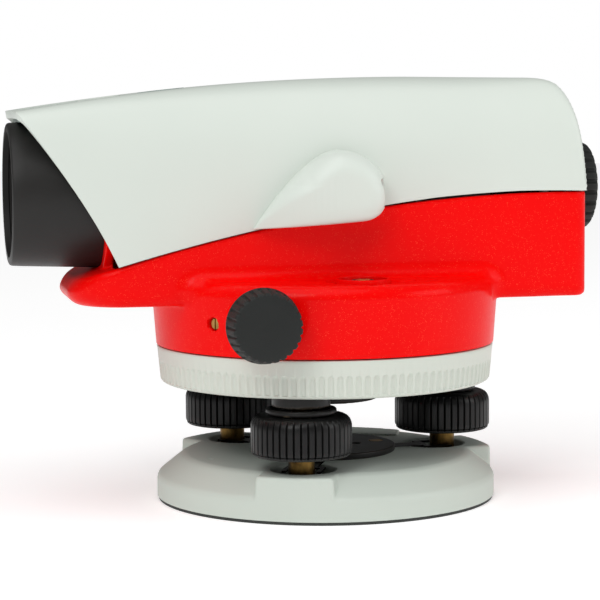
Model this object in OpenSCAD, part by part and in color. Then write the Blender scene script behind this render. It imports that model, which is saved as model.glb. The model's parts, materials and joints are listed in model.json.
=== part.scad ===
// Automatic (self-levelling) builder's level on its own three-screw base.
// +Z is up, the objective looks along -X and the eyepiece along +X.
// The origin is the middle of the underside, on the axis of the tripod thread.

/* [Base plate] */
// Radius of the base plate
base_r = 53.6; // [52.5:0.1:54.5]
// Height of the flat top of the base plate
base_h = 14.2; // [13.9:0.1:14.6]
// Height of the vertical outer wall, under the sloping shoulder
base_wall_h = 7.5; // [7:0.1:8]
// Width of each of the three pads beside the footscrews
pad_w = 23.4; // [20:0.1:24]
// Hole radius of the 5/8 inch tripod thread
thread_r = 6.8; // [6.7:0.05:6.9]

/* [Footscrews] */
// Radius of the circle that the footscrews stand on
foot_circle_r = 40.3; // [39.8:0.1:40.8]
// Direction of the first footscrew, seen from above
first_foot_angle = -112.7; // [-120:0.1:-105]
// Radius of a footscrew knob
foot_knob_r = 15.3; // [14.5:0.1:15.8]
// Height of the underside of a footscrew knob
foot_knob_z = 19.1; // [18.9:0.1:19.5]
// Length of a footscrew knob
foot_knob_h = 12.3; // [12:0.1:12.5]
// Radius of the ball foot
ball_r = 4.1; // [4:0.05:4.15]
// Radius of the threaded spindle
spindle_r = 3; // [2.8:0.1:3.2]

/* [Setting ring] */
// Outer radius of the setting ring at its top
ring_r = 53.2; // [53:0.1:53.4]
// Height of the underside of the setting ring
ring_z = 37.3; // [37.2:0.1:37.5]
// Height of the joint between the ring and the housing
joint_z = 49.3; // [49.2:0.1:49.6]

/* [Housing] */
// Radius of the drum at its bottom edge
drum_r0 = 53.4; // [53:0.1:53.6]
// Radius of the drum at its shoulder
drum_r1 = 55.0; // [54.5:0.1:55.3]
// Height of the drum's shoulder
shoulder_z = 71.2; // [71:0.1:71.5]
// Height of the underside of the nose and of the tail
belly_z = 63.7; // [63.4:0.1:64]
// Rear end of the housing
tail_x = 79.5; // [79:0.1:80]
// Front end of the nose under the objective
nose_x = -83; // [-84:0.1:-82]
// Greatest half width of the cover
body_w = 28.4; // [28:0.1:29]
// Wall thickness of the cover and the housing
wall = 2.2; // [2:0.1:2.4]

/* [Telescope] */
// Height of the line of sight
axis_z = 97.2; // [97:0.1:97.5]
// Front rim of the objective tube
rim_x = -99.3; // [-100:0.1:-99]
// Outer radius of the objective tube
tube_r = 21.9; // [21.7:0.1:22]
// Radius inside the rim, where a lens cap pushes in
hood_r = 19.4; // [19:0.1:19.6]
// Outer radius of the eyepiece ring
eyepiece_r = 13.9; // [13.4:0.1:14.2]
// Rear end of the eyepiece ring
eyepiece_x = 85.9; // [85:0.1:87]

/* [Drives] */
// Distance of the drive shaft in front of the vertical axis
drive_x = -30; // [-30.5:0.1:-29.9]
// Height of the drive shaft
drive_z = 60.2; // [60:0.1:60.5]
// Radius of a drive knob at its outer face
drive_knob_r = 10.2; // [9.8:0.1:10.4]
// Distance of a drive knob's outer face from the middle plane
drive_knob_y = 62; // [61:0.1:63]
// Radius of the focusing knob
focus_knob_r = 16.3; // [15:0.1:16.5]
// Place of the focusing shaft behind the vertical axis
focus_x = 12; // [11:0.5:13]
// Height of the focusing shaft
focus_z = 88.5; // [88.4:0.1:88.8]

/* [Circular level] */
// Place of the circular level along X
level_x = 3; // [1:0.5:5]
// Distance of the circular level from the middle plane
level_y = -40; // [-41:0.5:-39.5]
// Outer radius of the level's housing
level_r = 8.25; // [8:0.05:8.4]

/* [Hidden] */
$fn = 96;

// Running clearances and gaps
run = 0.05;
gap = 0.3;
eps = 0.01;
big = 400;

// Base plate
skirt_h = 1.0;
flat_r = 45.2;
shoulder_slope = (base_h - base_wall_h) / (base_r - flat_r);
pocket_r = 9.8;
pocket_in = 3.1;
pocket_z = 3;
ball_z = 9.6;
seat_r = 6;
seat_top_z = 7.9;
insert_r = 13;
insert_top_z = 11;
relief_r0 = 20;
relief_r1 = 47;
relief_z = 1.6;
spring_t = 0.6;
recess_h = spring_t + 0.05;
spring_r = 20.8;
arm_w = 6.8;
prong_w = 1.2;
prong_gap = 4.8;
disc_r = 22.2;
disc_t = 2;
disc_screw_circle = 17.2;
disc_screw_r = 1.4;
disc_head_r = 2.3;
disc_head_h = 1.1;

// Footscrews and hub
collar_r = 4.9;
collar_h = 1.1;
stem_r = 4.2;
well_r = 9;
well_h = 3.8;
knob_edge = 1.6;
boss_r = 8.5;
boss_z = 34;
sleeve_r0 = 8.8;
sleeve_r1 = 10.7;
sleeve_top_z = 33.5;
spindle_top_z = 39;
bush_r = 5.5;
plate_z = 37.9;
plate_top_z = 41.5;
plate_r = 46.5;
hub_core_r = 17;
hub_core_z = 31;
spigot_r = 35.7;
spigot_top_z = 43.7;
bearing_r = 14;
bearing_top_z = 64.2;
bearing_flange_r = 22;
bearing_flange_z0 = 54;
bearing_flange_z1 = 56.6;
axis_bush_r = 11;
axis_r = 8;
axis_bush_z = 35.9;
nut_r = 12.5;
nut_z = 31.8;
nut_h = 3.4;
nut_room = 0.7;

// Setting ring
ring_bottom_r = 52.1;
ring_inner_r = 49.3;
flange_z = 42;
flange_t = 1.5;
scale_r0 = 37.3;
scale_r1 = 48.6;
scale_t = 0.6;

// Worm wheel
wheel_r = 26;
wheel_z = 57.2;
wheel_h = 6;
worm_r = 3.7;
worm_l = 16;

// Housing
drum_inner_r = 51.6;
roof_t = 2;
roof_z = shoulder_z - roof_t;
drum_bottom_z = joint_z + 0.2;
housing_gap = 0.4;
housing_inset = 0.6;
bulkhead_x = -72;
bulkhead_t = 3;
edge_steps = 20;
front_steps = 6;
crown_steps = 12;
boss_points = [[-58, 21.6], [-58, -21.6], [66, 20.6], [66, -20.6]];
screw_boss_r = 4.2;
cover_boss_h = 12;
screw_r = 1.5;
screw_head_r = 2.6;
screw_head_h = 2.4;
drive_boss_r = 8;
drive_boss_y = 52.7;
drive_bush_r = 5;
drive_shaft_r = 2.5;
drive_knob_y0 = 53.2;
knob_bore_y = 56;
focus_bush_r = 4;
focus_shaft_r = 1.5;
focus_knob_y0 = 30;
focus_knob_y1 = 44;
worm_screw_angle = 219.5;
worm_screw_z = 59;
worm_screw_r = 1.6;
trough_x0 = -95;
trough_x1 = -74;
trough_w = 12;
trough_z = 122.4;
window_z = 58;
window_w = 16;
window_h = 8;

// Optics and compensator
hood_end_x = -88.2;
lens_x1 = -79;
lens_seat_r = 19;
tube_root_r = 23;
retainer_t = 1.2;
comp_x0 = 27;
comp_x1 = 51;
comp_x = (comp_x0 + comp_x1) / 2;
comp_w = 12.5;
comp_t = 2;
comp_z0 = 81;
comp_z1 = 113;
barrel_x0 = 54;
barrel_r1 = 11;
barrel_r0 = 9.2;
telescope_r1 = 15.5;
telescope_r0 = 13.5;
telescope_x0 = bulkhead_x + 8;
telescope_x1 = 22;
focus_lens_r = 12;

function foot_angle(i) = first_foot_angle + 120 * (i - 1);
function mix(a, b, t) = a * (1 - t) + b * t;
function bez(p, n) = [for (i = [0:n]) let (t = i / n, u = 1 - t)
    p[0] * u * u * u + 3 * p[1] * u * u * t + 3 * p[2] * u * t * t + p[3] * t * t * t];
function rev(v) = [for (i = [len(v) - 1:-1:0]) v[i]];
function mirror_x(v) = [for (p = v) [-p[0], p[1]]];

// Side view of the cover: lower edge, front edge, crown and rounded tail, as [x, z] curves
edge_ctrl = [[-68.6, 76.0], [-22, 89.5], [26, 97.8], [tail_x, 96.7]];
front_ctrl = [[-68.6, 76.0], [-76, 92.5], [-86.5, 106.5], [-98, 122.4]];
function edge_curve(dz) = [for (p = bez(edge_ctrl, edge_steps)) p + [0, dz]];
function crown_curve(t) = [for (p = bez([[-98, 122.6], [-60, 128.5], [-20, 132.6], [25, 132.4]],
    crown_steps)) p - [0, t]];
function tail_curve(t) = [for (p = bez([[60, 131.9], [76, 131.8], [77.8, 121], [tail_x, 96.7]],
    crown_steps)) p - [t, t * max(0, (p[1] - 100) / 32)]];

// Plan view of the body: half of it, as [x, y] from the front to the rear
function plan_side(t) = concat(
    bez([[-110, 25.0 - t], [-50, body_w + 0.2 - t], [10, body_w + 0.8 - t], [72, 26.2 - t]], crown_steps),
    bez([[72, 26.2 - t], [77.3 - t, 26.1 - t], [tail_x - t, 24.4 - t], [tail_x - t, 20]], 6));

// Cross-section of the body: right half, as [y, z] from the bottom to the crown
function section_side(t) = concat([[body_w + 1 - t, 40], [body_w + 1 - t, 90]],
    bez([[body_w + 1 - t, 90], [body_w - 0.5 - t, 112 - t], [24 - t, 129 - t], [12, 133.2 - t]], 8),
    [[0, 133.6 - t]]);

// Turns a [y, z] outline into a long bar along X, and an [x, z] outline into a bar along Y
module along_x(points) {
    rotate([90, 0, 90])
        translate([0, 0, -big / 2])
            linear_extrude(big)
                polygon(points);
}
module along_y(points, y0 = -big / 2, y1 = big / 2) {
    translate([0, y1, 0])
        rotate([90, 0, 0])
            linear_extrude(y1 - y0)
                polygon(points);
}
module at_axis(x) {
    translate([x, 0, axis_z])
        rotate([0, 90, 0])
            children();
}
// A ring or disc along X, centred on the line of sight
module lens_ring(x0, x1, r1, r0 = 0) {
    at_axis(x0)
        difference() {
            cylinder(h = x1 - x0, r = r1);
            if (r0 > 0)
                translate([0, 0, -1])
                    cylinder(h = x1 - x0 + 2, r = r0);
        }
}
module tube(z0, z1, r1, r0) {
    translate([0, 0, z0])
        difference() {
            cylinder(h = z1 - z0, r = r1);
            translate([0, 0, -1])
                cylinder(h = z1 - z0 + 2, r = r0);
        }
}
module at_foot(i) {
    rotate([0, 0, foot_angle(i)])
        translate([foot_circle_r, 0, 0])
            children();
}
module shaft_y(x, z, y0, y1, r) {
    translate([x, y1, z])
        rotate([90, 0, 0])
            cylinder(h = y1 - y0, r = r);
}
module envelope(t) {
    intersection() {
        along_x(concat(section_side(t), rev(mirror_x(section_side(t)))));
        linear_extrude(big)
            polygon(concat(plan_side(t), rev([for (p = plan_side(t)) [p[0], -p[1]]])));
    }
}

// ---- base ----
module base_plate() {
    color("#c8cfc6")
        difference() {
            union() {
                difference() {
                    cylinder_between(skirt_h, base_h, base_r);
                    difference() {
                        rotate_extrude()
                            polygon([[flat_r, base_h], [flat_r, base_h + 1], [base_r + 1, base_h + 1],
                                [base_r + 1, base_wall_h - shoulder_slope]]);
                        for (i = [1:3])
                            rotate([0, 0, foot_angle(i)])
                                translate([0, -pad_w / 2, 0])
                                    cube([base_r + 2, pad_w, base_h + 2]);
                    }
                    for (i = [1:3])
                        rotate([0, 0, foot_angle(i)]) {
                            translate([foot_circle_r - pocket_in, 0, pocket_z])
                                cylinder(h = base_h, r = pocket_r);
                            translate([spring_r - 2, -arm_w / 2 - gap, base_h - recess_h])
                                cube([foot_circle_r - spring_r, arm_w + 2 * gap, 2]);
                        }
                }
                // the fixed ball seat, rooted in the floor of its pocket
                at_foot(1)
                    cylinder_between(pocket_z - 1, seat_top_z, seat_r - 0.4);
            }
            at_foot(1)
                translate([0, 0, ball_z])
                    sphere(r = ball_r + gap);
            for (i = [1:3])
                rotate([0, 0, foot_angle(i)])
                    translate([disc_screw_circle, 0, insert_top_z])
                        cylinder(h = base_h, r = disc_screw_r);
            cylinder_between(base_h - recess_h, base_h + 2, spring_r + gap);
            cylinder_between(-1, insert_top_z, insert_r);
            tube(-1, relief_z, relief_r1, relief_r0);
        }
}
// A ball socket, concentric with the ball foot, open above its rim
module foot_seat(i) {
    at_foot(i)
        intersection() {
            difference() {
                translate([0, 0, ball_z])
                    sphere(r = seat_r);
                translate([0, 0, ball_z])
                    sphere(r = ball_r + gap);
            }
            cylinder_between(ball_z - seat_r - 1, seat_top_z, seat_r + 1);
        }
}
module base_skirt() {
    color("#3a3a36")
        tube(0, skirt_h, base_r - 0.4, relief_r1 - 1);
}
module thread_insert() {
    color("#b5a05a")
        tube(0, insert_top_z, insert_r, thread_r);
}
module spring_plate() {
    z0 = base_h - spring_t;
    color("#b58f4a")
        difference() {
            union() {
                translate([0, 0, z0])
                    cylinder(h = spring_t, r = spring_r);
                for (i = [1:3])
                    rotate([0, 0, foot_angle(i)]) {
                        translate([0, -arm_w / 2, z0])
                            cube([foot_circle_r - 7, arm_w, spring_t]);
                        translate([foot_circle_r - 8, -prong_gap - prong_w, z0])
                            cube([2, 2 * (prong_gap + prong_w), spring_t]);
                        for (s = [-1, 1])
                            translate([foot_circle_r - 8, s * (prong_gap + prong_w / 2) - prong_w / 2, z0])
                                cube([9, prong_w, spring_t]);
                    }
            }
            for (i = [1:3])
                rotate([0, 0, foot_angle(i)])
                    translate([disc_screw_circle, 0, z0 - 1])
                        cylinder(h = 3, r = disc_screw_r);
        }
}
module retaining_disc() {
    color("#2c2a26")
        difference() {
            translate([0, 0, base_h])
                cylinder(h = disc_t, r = disc_r);
            for (i = [1:3])
                rotate([0, 0, foot_angle(i)])
                    translate([disc_screw_circle, 0, 0]) {
                        cylinder(h = base_h + disc_t + 1, r = disc_screw_r);
                        translate([0, 0, base_h + disc_t - disc_head_h])
                            cylinder(h = 3, r = disc_head_r);
                    }
        }
}
module disc_screws() {
    color("#a9976a")
        for (i = [1:3])
            rotate([0, 0, foot_angle(i)])
                translate([disc_screw_circle, 0, 0])
                    difference() {
                        union() {
                            translate([0, 0, insert_top_z])
                                cylinder(h = base_h + disc_t - insert_top_z - eps, r = disc_screw_r);
                            translate([0, 0, base_h + disc_t - disc_head_h])
                                cylinder(h = disc_head_h, r = disc_head_r);
                        }
                        translate([-disc_head_r, -0.3, base_h + disc_t - 0.5])
                            cube([2 * disc_head_r, 0.6, 1]);
                    }
}

// ---- footscrews ----
module footscrew_knob(i) {
    top_z = foot_knob_z + foot_knob_h;
    color("#1f1e1c")
        at_foot(i)
            rotate_extrude()
                polygon([[spindle_r, foot_knob_z - collar_h], [collar_r, foot_knob_z - collar_h],
                    [collar_r + 1, foot_knob_z], [foot_knob_r - knob_edge, foot_knob_z],
                    [foot_knob_r, foot_knob_z + knob_edge], [foot_knob_r, top_z - knob_edge],
                    [foot_knob_r - knob_edge, top_z], [well_r, top_z],
                    [well_r, top_z - well_h], [spindle_r, top_z - well_h]]);
}
module footscrew_spindle(i) {
    color("#a8843c")
        at_foot(i)
            union() {
                translate([0, 0, ball_z])
                    sphere(r = ball_r);
                translate([0, 0, ball_z])
                    cylinder(h = foot_knob_z - collar_h - ball_z, r = stem_r - 0.2);
                translate([0, 0, ball_z])
                    cylinder(h = spindle_top_z - ball_z, r = spindle_r);
            }
}
module footscrew_sleeve(i) {
    color("#262522")
        at_foot(i)
            tube(foot_knob_z + foot_knob_h + gap, sleeve_top_z, sleeve_r1, sleeve_r0);
}

// ---- hub ----
module hub_body() {
    color("#232220")
        difference() {
            union() {
                translate([0, 0, hub_core_z])
                    cylinder(h = plate_top_z - hub_core_z, r = hub_core_r);
                translate([0, 0, plate_z])
                    cylinder(h = plate_top_z - plate_z, r = plate_r);
                for (i = [1:3])
                    at_foot(i)
                        translate([0, 0, boss_z])
                            cylinder(h = plate_top_z - boss_z, r = boss_r);
                cylinder_between(plate_top_z, spigot_top_z, spigot_r);
                cylinder_between(plate_top_z, bearing_flange_z1, hub_core_r);
                cylinder_between(bearing_flange_z0, bearing_flange_z1, bearing_flange_r);
                cylinder_between(bearing_flange_z1, bearing_top_z, bearing_r);
            }
            translate([0, 0, hub_core_z - 1])
                cylinder(h = nut_z + nut_h + nut_room - hub_core_z + 1, r = nut_r + nut_room);
            cylinder_between(hub_core_z, bearing_top_z + 1, axis_bush_r);
            for (i = [1:3])
                at_foot(i)
                    cylinder_between(boss_z - 1, plate_top_z + 1, bush_r);
        }
}
module cylinder_between(z0, z1, r) {
    translate([0, 0, z0])
        cylinder(h = z1 - z0, r = r);
}
module footscrew_bushes() {
    color("#b08d48")
        for (i = [1:3])
            at_foot(i)
                tube(boss_z, plate_top_z, bush_r, spindle_r + run);
}
module axis_bush() {
    color("#a5803e")
        tube(axis_bush_z, bearing_top_z, axis_bush_r, axis_r + run);
}
module ring_spring() {
    color("#8d8d88")
        tube(spigot_top_z, spigot_top_z + 0.6, scale_r0 - 0.4, spigot_r - 6);
}

// ---- setting ring and its degree scale ----
module setting_ring() {
    color("#c9cec2")
        rotate_extrude()
            polygon([[ring_inner_r, ring_z], [ring_bottom_r - 1, ring_z], [ring_bottom_r, ring_z + 1],
                [ring_r, joint_z - 0.2], [ring_inner_r, joint_z - 0.2],
                [ring_inner_r, flange_z + flange_t], [spigot_r + run, flange_z + flange_t],
                [spigot_r + run, flange_z], [ring_inner_r, flange_z]]);
}
module degree_scale() {
    color("#e8e8e0")
        tube(flange_z + flange_t, flange_z + flange_t + scale_t, scale_r1, scale_r0);
}

// ---- worm wheel with its slipping clutch ----
module worm_wheel() {
    color("#b8944c")
        difference() {
            tube(wheel_z, wheel_z + wheel_h, wheel_r, bearing_r + run);
            for (s = [0, 1])
                translate([0, 0, s == 0 ? wheel_z - 1 : wheel_z + wheel_h - 1.4])
                    difference() {
                        cylinder(h = 2.4, r = wheel_r - 3);
                        translate([0, 0, -1])
                            cylinder(h = 5, r = bearing_r + 4.5);
                    }
        }
}
module clutch_spring() {
    color("#9a9a95")
        tube(bearing_flange_z1 + 0.1, wheel_z, bearing_r + 4, bearing_r + gap);
}

// ---- housing ----
module drum() {
    rotate_extrude()
        polygon([[0, drum_bottom_z], [drum_r0, drum_bottom_z], [drum_r1, shoulder_z - 1.8],
            [drum_r1 - 0.5, shoulder_z - 0.5], [drum_r1 - 1.8, shoulder_z], [0, shoulder_z]]);
}
// Region of the red housing in side view: belly, nose and tail under the cover's edge
module tub_region(floor_z, gap_z) {
    along_y(concat([[nose_x, floor_z + 2.5], [nose_x + 2.5, floor_z], [tail_x - 4, floor_z],
        [tail_x - 1, floor_z + 1], [tail_x + 1, floor_z + 4], [tail_x + 1, 96.7 - gap_z]],
        rev(edge_curve(-gap_z)), [[-74, 74.3], [nose_x + 3, 71.8], [nose_x, 70.5]]));
}
module nose_corners() {
    linear_extrude(big)
        polygon(concat(bez([[nose_x, -14], [nose_x, -22], [-78, -27], [-66, -30]], 8),
            [[big / 4, -40], [big / 4, 40]],
            rev([for (p = bez([[nose_x, -14], [nose_x, -22], [-78, -27], [-66, -30]], 8)) [p[0], -p[1]]])));
}
module lower_housing() {
    color("#e01010")
        difference() {
            union() {
                difference() {
                    drum();
                    translate([0, 0, -1])
                        cylinder(h = roof_z + 1, r = drum_inner_r);
                }
                difference() {
                    intersection() {
                        envelope(housing_inset);
                        tub_region(belly_z, housing_gap);
                        nose_corners();
                    }
                    tub_hollow();
                    translate([0, 0, -1])
                        cylinder(h = roof_z + 1, r = drum_inner_r);
                }
                intersection() {
                    envelope(housing_inset + wall + 0.2);
                    translate([bulkhead_x, -big / 2, 0])
                        cube([bulkhead_t, big, 117]);
                    translate([bulkhead_x, 0, axis_z])
                        rotate([0, 90, 0])
                            cylinder(h = bulkhead_t, r = tube_r + 5);
                }
                for (s = [-1, 1])
                    scale([1, s, 1])
                        intersection() {
                            shaft_y(drive_x, drive_z, 40, drive_boss_y, drive_boss_r);
                            cylinder_between(drum_bottom_z, big, big / 4);
                        }
                for (p = boss_points)
                    intersection() {
                        translate([p[0], p[1], belly_z])
                            cylinder(h = 60, r = screw_boss_r);
                        tub_region(belly_z, housing_gap);
                        envelope(housing_inset);
                    }
            }
            // clear the drum again behind the shaft bosses
            translate([0, 0, -1])
                cylinder(h = roof_z + 1, r = drum_inner_r - 5);
            shaft_y(drive_x, drive_z, -60, 60, drive_bush_r);
            shaft_y(focus_x, focus_z, 10, 60, focus_bush_r);
            level_room();
            lens_ring(bulkhead_x - 1, bulkhead_x + bulkhead_t + 1, tube_r - 4);
            lens_ring(bulkhead_x - 20, bulkhead_x + 0.5, tube_root_r + 0.1);
            lens_ring(60, 95, eyepiece_r + 0.6);
            screw_room();
            rotate([0, 0, worm_screw_angle])
                translate([drum_r0 - 6, 0, worm_screw_z])
                    rotate([0, 90, 0])
                        cylinder(h = 12, r = worm_screw_r);
            translate([drum_inner_r - 2, -window_w / 2, window_z - window_h / 2])
                cube([8, window_w, window_h]);
        }
}
// Hollow of the upper body: above the drum's roof, and above the belly outside the drum
module tub_hollow() {
    intersection() {
        envelope(housing_inset + wall);
        translate([bulkhead_x + bulkhead_t, -big / 2, shoulder_z])
            cube([tail_x - wall - bulkhead_x - bulkhead_t, big, big]);
    }
    difference() {
        intersection() {
            envelope(housing_inset + wall);
            translate([bulkhead_x + bulkhead_t, -big / 2, belly_z + wall])
                cube([tail_x - wall - bulkhead_x - bulkhead_t, big, big]);
        }
        cylinder(h = shoulder_z, r = drum_r1);
    }
}
module level_room() {
    translate([level_x, level_y, roof_z - 1])
        cylinder(h = 6, r = level_r + 0.1);
}
module screw_room() {
    for (p = boss_points)
        translate([p[0], p[1], 0]) {
            cylinder(h = belly_z + screw_head_h + 0.4, r = screw_head_r + 0.1);
            cylinder(h = big, r = screw_r);
        }
}
function edge_z(x) = let (c = edge_curve(0))
    [for (i = [0:len(c) - 2]) if (c[i][0] <= x && x < c[i + 1][0])
        mix(c[i][1], c[i + 1][1], (x - c[i][0]) / (c[i + 1][0] - c[i][0]))][0];
module top_cover() {
    color("#dfe6df")
        difference() {
            union() {
                difference() {
                    intersection() {
                        envelope(0);
                        along_y(concat(edge_curve(0), rev(tail_curve(0)), rev(crown_curve(0)),
                            rev(bez(front_ctrl, front_steps))));
                    }
                    intersection() {
                        envelope(wall);
                        along_y(concat([[-120, 60], [tail_x - wall, 60]], rev(tail_curve(wall)),
                            rev(crown_curve(wall)), [[-120, 118.5]]));
                    }
                }
                for (p = boss_points)
                    intersection() {
                        translate([p[0], p[1], edge_z(p[0])])
                            cylinder(h = cover_boss_h, r = screw_boss_r);
                        envelope(wall / 2);
                        along_y(concat(edge_curve(0), [[tail_x, 130], [-75, 120]]));
                    }
            }
            lens_ring(60, 95, eyepiece_r + 0.6);
            for (p = boss_points)
                translate([p[0], p[1], 0])
                    cylinder(h = edge_z(p[0]) + cover_boss_h - 2, r = screw_r);
            translate([trough_x0, -trough_w / 2, trough_z])
                cube([trough_x1 - trough_x0, trough_w, 20]);
        }
}
module drum_plate() {
    color("#404040")
        tube(50, 52, drum_inner_r - 0.1, bearing_flange_r + 2);
}
module axis_spindle() {
    color("#9c9c9c")
        union() {
            cylinder_between(nut_z, roof_z, axis_r);
            cylinder_between(bearing_top_z + 1.3, roof_z, hub_core_r + 1);
        }
}
module axis_nut() {
    color("#8a8a86")
        tube(nut_z, nut_z + nut_h, nut_r, axis_r);
}

// ---- viewing housing over the circular level ----
module bump_shape(t) {
    side = concat([[-28 + 2 * t, 86.7 - 20 * min(t, 0.5)], [4 - t, 89 - 20 * min(t, 0.5)]],
        bez([[4 - t, 89], [9.6 - t, 89.4], [12.4 - t, 92.8], [12.5 - t, 98]], 6),
        bez([[12.5 - t, 98], [12.5 - t, 105], [5, 110.4 - t], [-2, 110.4 - t]], 6),
        bez([[-2, 110.4 - t], [-9, 110.4 - t], [-20 + t, 99 - t], [-28 + 2 * t, 86.7]], 8));
    plan = concat([[-29 + 2 * t, -20], [-29 + 2 * t, -28]],
        bez([[-29 + 2 * t, -28], [-22, -33 + t], [-14, -38.4 + t], [-4, -38.4 + t]], 6),
        bez([[-4, -38.4 + t], [6, -38.4 + t], [12.6 - t, -36], [12.6 - t, -28]], 6),
        [[12.6 - t, -20]]);
    section = concat([[-20, 70], [-38.5 + t, 70], [-38.5 + t, 97]],
        bez([[-38.5 + t, 97], [-38.5 + t, 104 - t], [-32, 110.6 - t], [-24, 111 - t]], 6), [[-20, 111 - t]]);
    intersection() {
        along_y(side);
        linear_extrude(big)
            polygon(plan);
        along_x(section);
    }
}
module prism_housing() {
    color("#dbe2db")
        difference() {
            bump_shape(0);
            bump_shape(1.6);
            envelope(0);
        }
}
module level_prism() {
    color([0.8, 0.9, 0.95, 0.5])
        translate([0, -29.6, 0])
            rotate([90, 0, 0])
                linear_extrude(5)
                    polygon([[-3, 91], [8, 91], [8, 102]]);
}
module level_housing() {
    color("#d8d8d2")
        translate([level_x, level_y, 0])
            difference() {
                union() {
                    cylinder_between(roof_z - 2.8, shoulder_z + 1, level_r);
                    cylinder_between(roof_z - 0.8, roof_z, level_r + 1.3);
                }
                cylinder_between(roof_z - 1.8, big, level_r - 1.15);
            }
}
module level_vial() {
    color([0.75, 0.85, 0.35, 0.6])
        translate([level_x, level_y, 0])
            cylinder_between(roof_z - 1.8, shoulder_z + 0.8, level_r - 1.15);
}

// ---- telescope ----
module objective_tube() {
    color("#1c1c1a")
        at_axis(0)
            rotate_extrude()
                polygon([[hood_r, rim_x], [tube_r - 0.6, rim_x], [tube_r, rim_x + 0.8],
                    [tube_root_r, bulkhead_x + 0.5], [tube_r - 4.1, bulkhead_x + 0.5],
                    [tube_r - 4.1, telescope_x0], [telescope_r1, telescope_x0],
                    [telescope_r1, lens_x1], [lens_seat_r, lens_x1], [lens_seat_r, hood_end_x],
                    [hood_r, hood_end_x]]);
}
module objective_lens() {
    color([0.7, 0.8, 0.95, 0.4])
        lens_ring(hood_end_x + retainer_t, lens_x1, lens_seat_r);
}
module objective_ring() {
    color("#161616")
        lens_ring(hood_end_x, hood_end_x + retainer_t, lens_seat_r, lens_seat_r - 2);
}
module telescope_tube() {
    color("#2a2a2a")
        difference() {
            lens_ring(telescope_x0, telescope_x1, telescope_r1, telescope_r0);
            translate([-38, 8, 89.5])
                cube([70, 10, 6]);
        }
}
module focus_cell() {
    color("#7c7c78")
        union() {
            lens_ring(-22, -14, 13.2, focus_lens_r);
            translate([-22, 12.2, focus_z + 2.2])
                cube([8, 5.3, 3]);
            translate([-14.1, 13.9, focus_z + 2.2])
                cube([41, 3.6, 3]);
        }
}
module focus_lens() {
    color([0.7, 0.8, 0.95, 0.4])
        lens_ring(-20, -16, focus_lens_r);
}
module focus_pinion() {
    color("#b08d48")
        union() {
            shaft_y(focus_x, focus_z, 14, 33, focus_shaft_r);
            shaft_y(focus_x, focus_z, 14, 18, 1.9);
        }
}
module focus_knob() {
    color("#1f1e1c")
        translate([focus_x, 0, focus_z])
            rotate([-90, 0, 0])
                rotate_extrude()
                    polygon([[focus_shaft_r, focus_knob_y0], [focus_knob_r - 1, focus_knob_y0],
                        [focus_knob_r, focus_knob_y0 + 1], [focus_knob_r - 0.4, focus_knob_y1 - 1.5],
                        [focus_knob_r - 1.6, focus_knob_y1], [0, focus_knob_y1],
                        [0, focus_knob_y0 + 3], [focus_shaft_r, focus_knob_y0 + 3]]);
}
module compensator_frame() {
    color("#8f8f8a")
        union() {
            for (s = [-1, 1])
                translate([comp_x0, s * (comp_w - comp_t / 2) - comp_t / 2, comp_z0])
                    cube([comp_x1 - comp_x0, comp_t, comp_z1 - comp_z0]);
            for (z = [comp_z0, comp_z1 - comp_t])
                translate([comp_x0, -comp_w, z])
                    cube([comp_x1 - comp_x0, 2 * comp_w, comp_t]);
            translate([comp_x, 0, 0])
                tube(comp_z0 + comp_t, comp_z0 + comp_t + 4, 4.6, 3.6);
            translate([comp_x0, -4, shoulder_z])
                cube([comp_x1 - comp_x0, 8, comp_z0 - shoulder_z]);
        }
}
module fixed_prisms() {
    color([0.8, 0.9, 1, 0.5])
        for (x = [comp_x0 + 1, comp_x1 - 6])
            translate([x, -comp_w + comp_t, axis_z - 8])
                cube([5, 2 * (comp_w - comp_t), 16]);
}
module pendulum() {
    color("#a0a09a")
        difference() {
            union() {
                translate([comp_x - 3.5, -7.5, axis_z - 9])
                    cube([7, 15, 20]);
                translate([comp_x, 0, 0])
                    cylinder_between(comp_z0 + comp_t + 1.5, axis_z - 9, 3);
            }
            translate([comp_x - 5, -6, axis_z - 7])
                cube([10, 12, 14]);
        }
}
module pendulum_prism() {
    color([0.8, 0.9, 1, 0.5])
        translate([comp_x - 3, -6, axis_z - 7])
            cube([6, 12, 14]);
}
module suspension_tapes() {
    color("#c9a95a")
        for (s = [-1, 1])
            for (x = [-2, 2])
                translate([comp_x + x - 0.1, s * 6 - 1, axis_z + 11])
                    cube([0.2, 2, comp_z1 - comp_t - axis_z - 11 - 0.1]);
}
module reticle() {
    color([0.85, 0.92, 1, 0.4])
        lens_ring(barrel_x0 + 2, barrel_x0 + 3.5, barrel_r0);
}
module eyepiece_barrel() {
    color("#2a2a28")
        union() {
            lens_ring(barrel_x0, 77, barrel_r1, barrel_r0);
            translate([barrel_x0, -5, shoulder_z])
                cube([10, 10, axis_z - barrel_r1 + 0.4 - shoulder_z]);
        }
}
module eyepiece_cell() {
    color("#3a3a38")
        lens_ring(66, 83, barrel_r0 - 0.1, 7.6);
}
module eyepiece_lens() {
    color([0.7, 0.8, 0.95, 0.4])
        lens_ring(76, 81, 7.6);
}
module eyepiece_ring() {
    color("#24282a")
        at_axis(0)
            rotate_extrude()
                polygon([[11.3, 75.5], [eyepiece_r - 0.5, 75.5], [eyepiece_r, 76.2],
                    [eyepiece_r, eyepiece_x - 2], [eyepiece_r - 1.6, eyepiece_x - 0.3],
                    [eyepiece_r - 2.5, eyepiece_x], [6.2, eyepiece_x - 0.8],
                    [6.2, 83.2], [11.3, 83.2]]);
}

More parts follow.
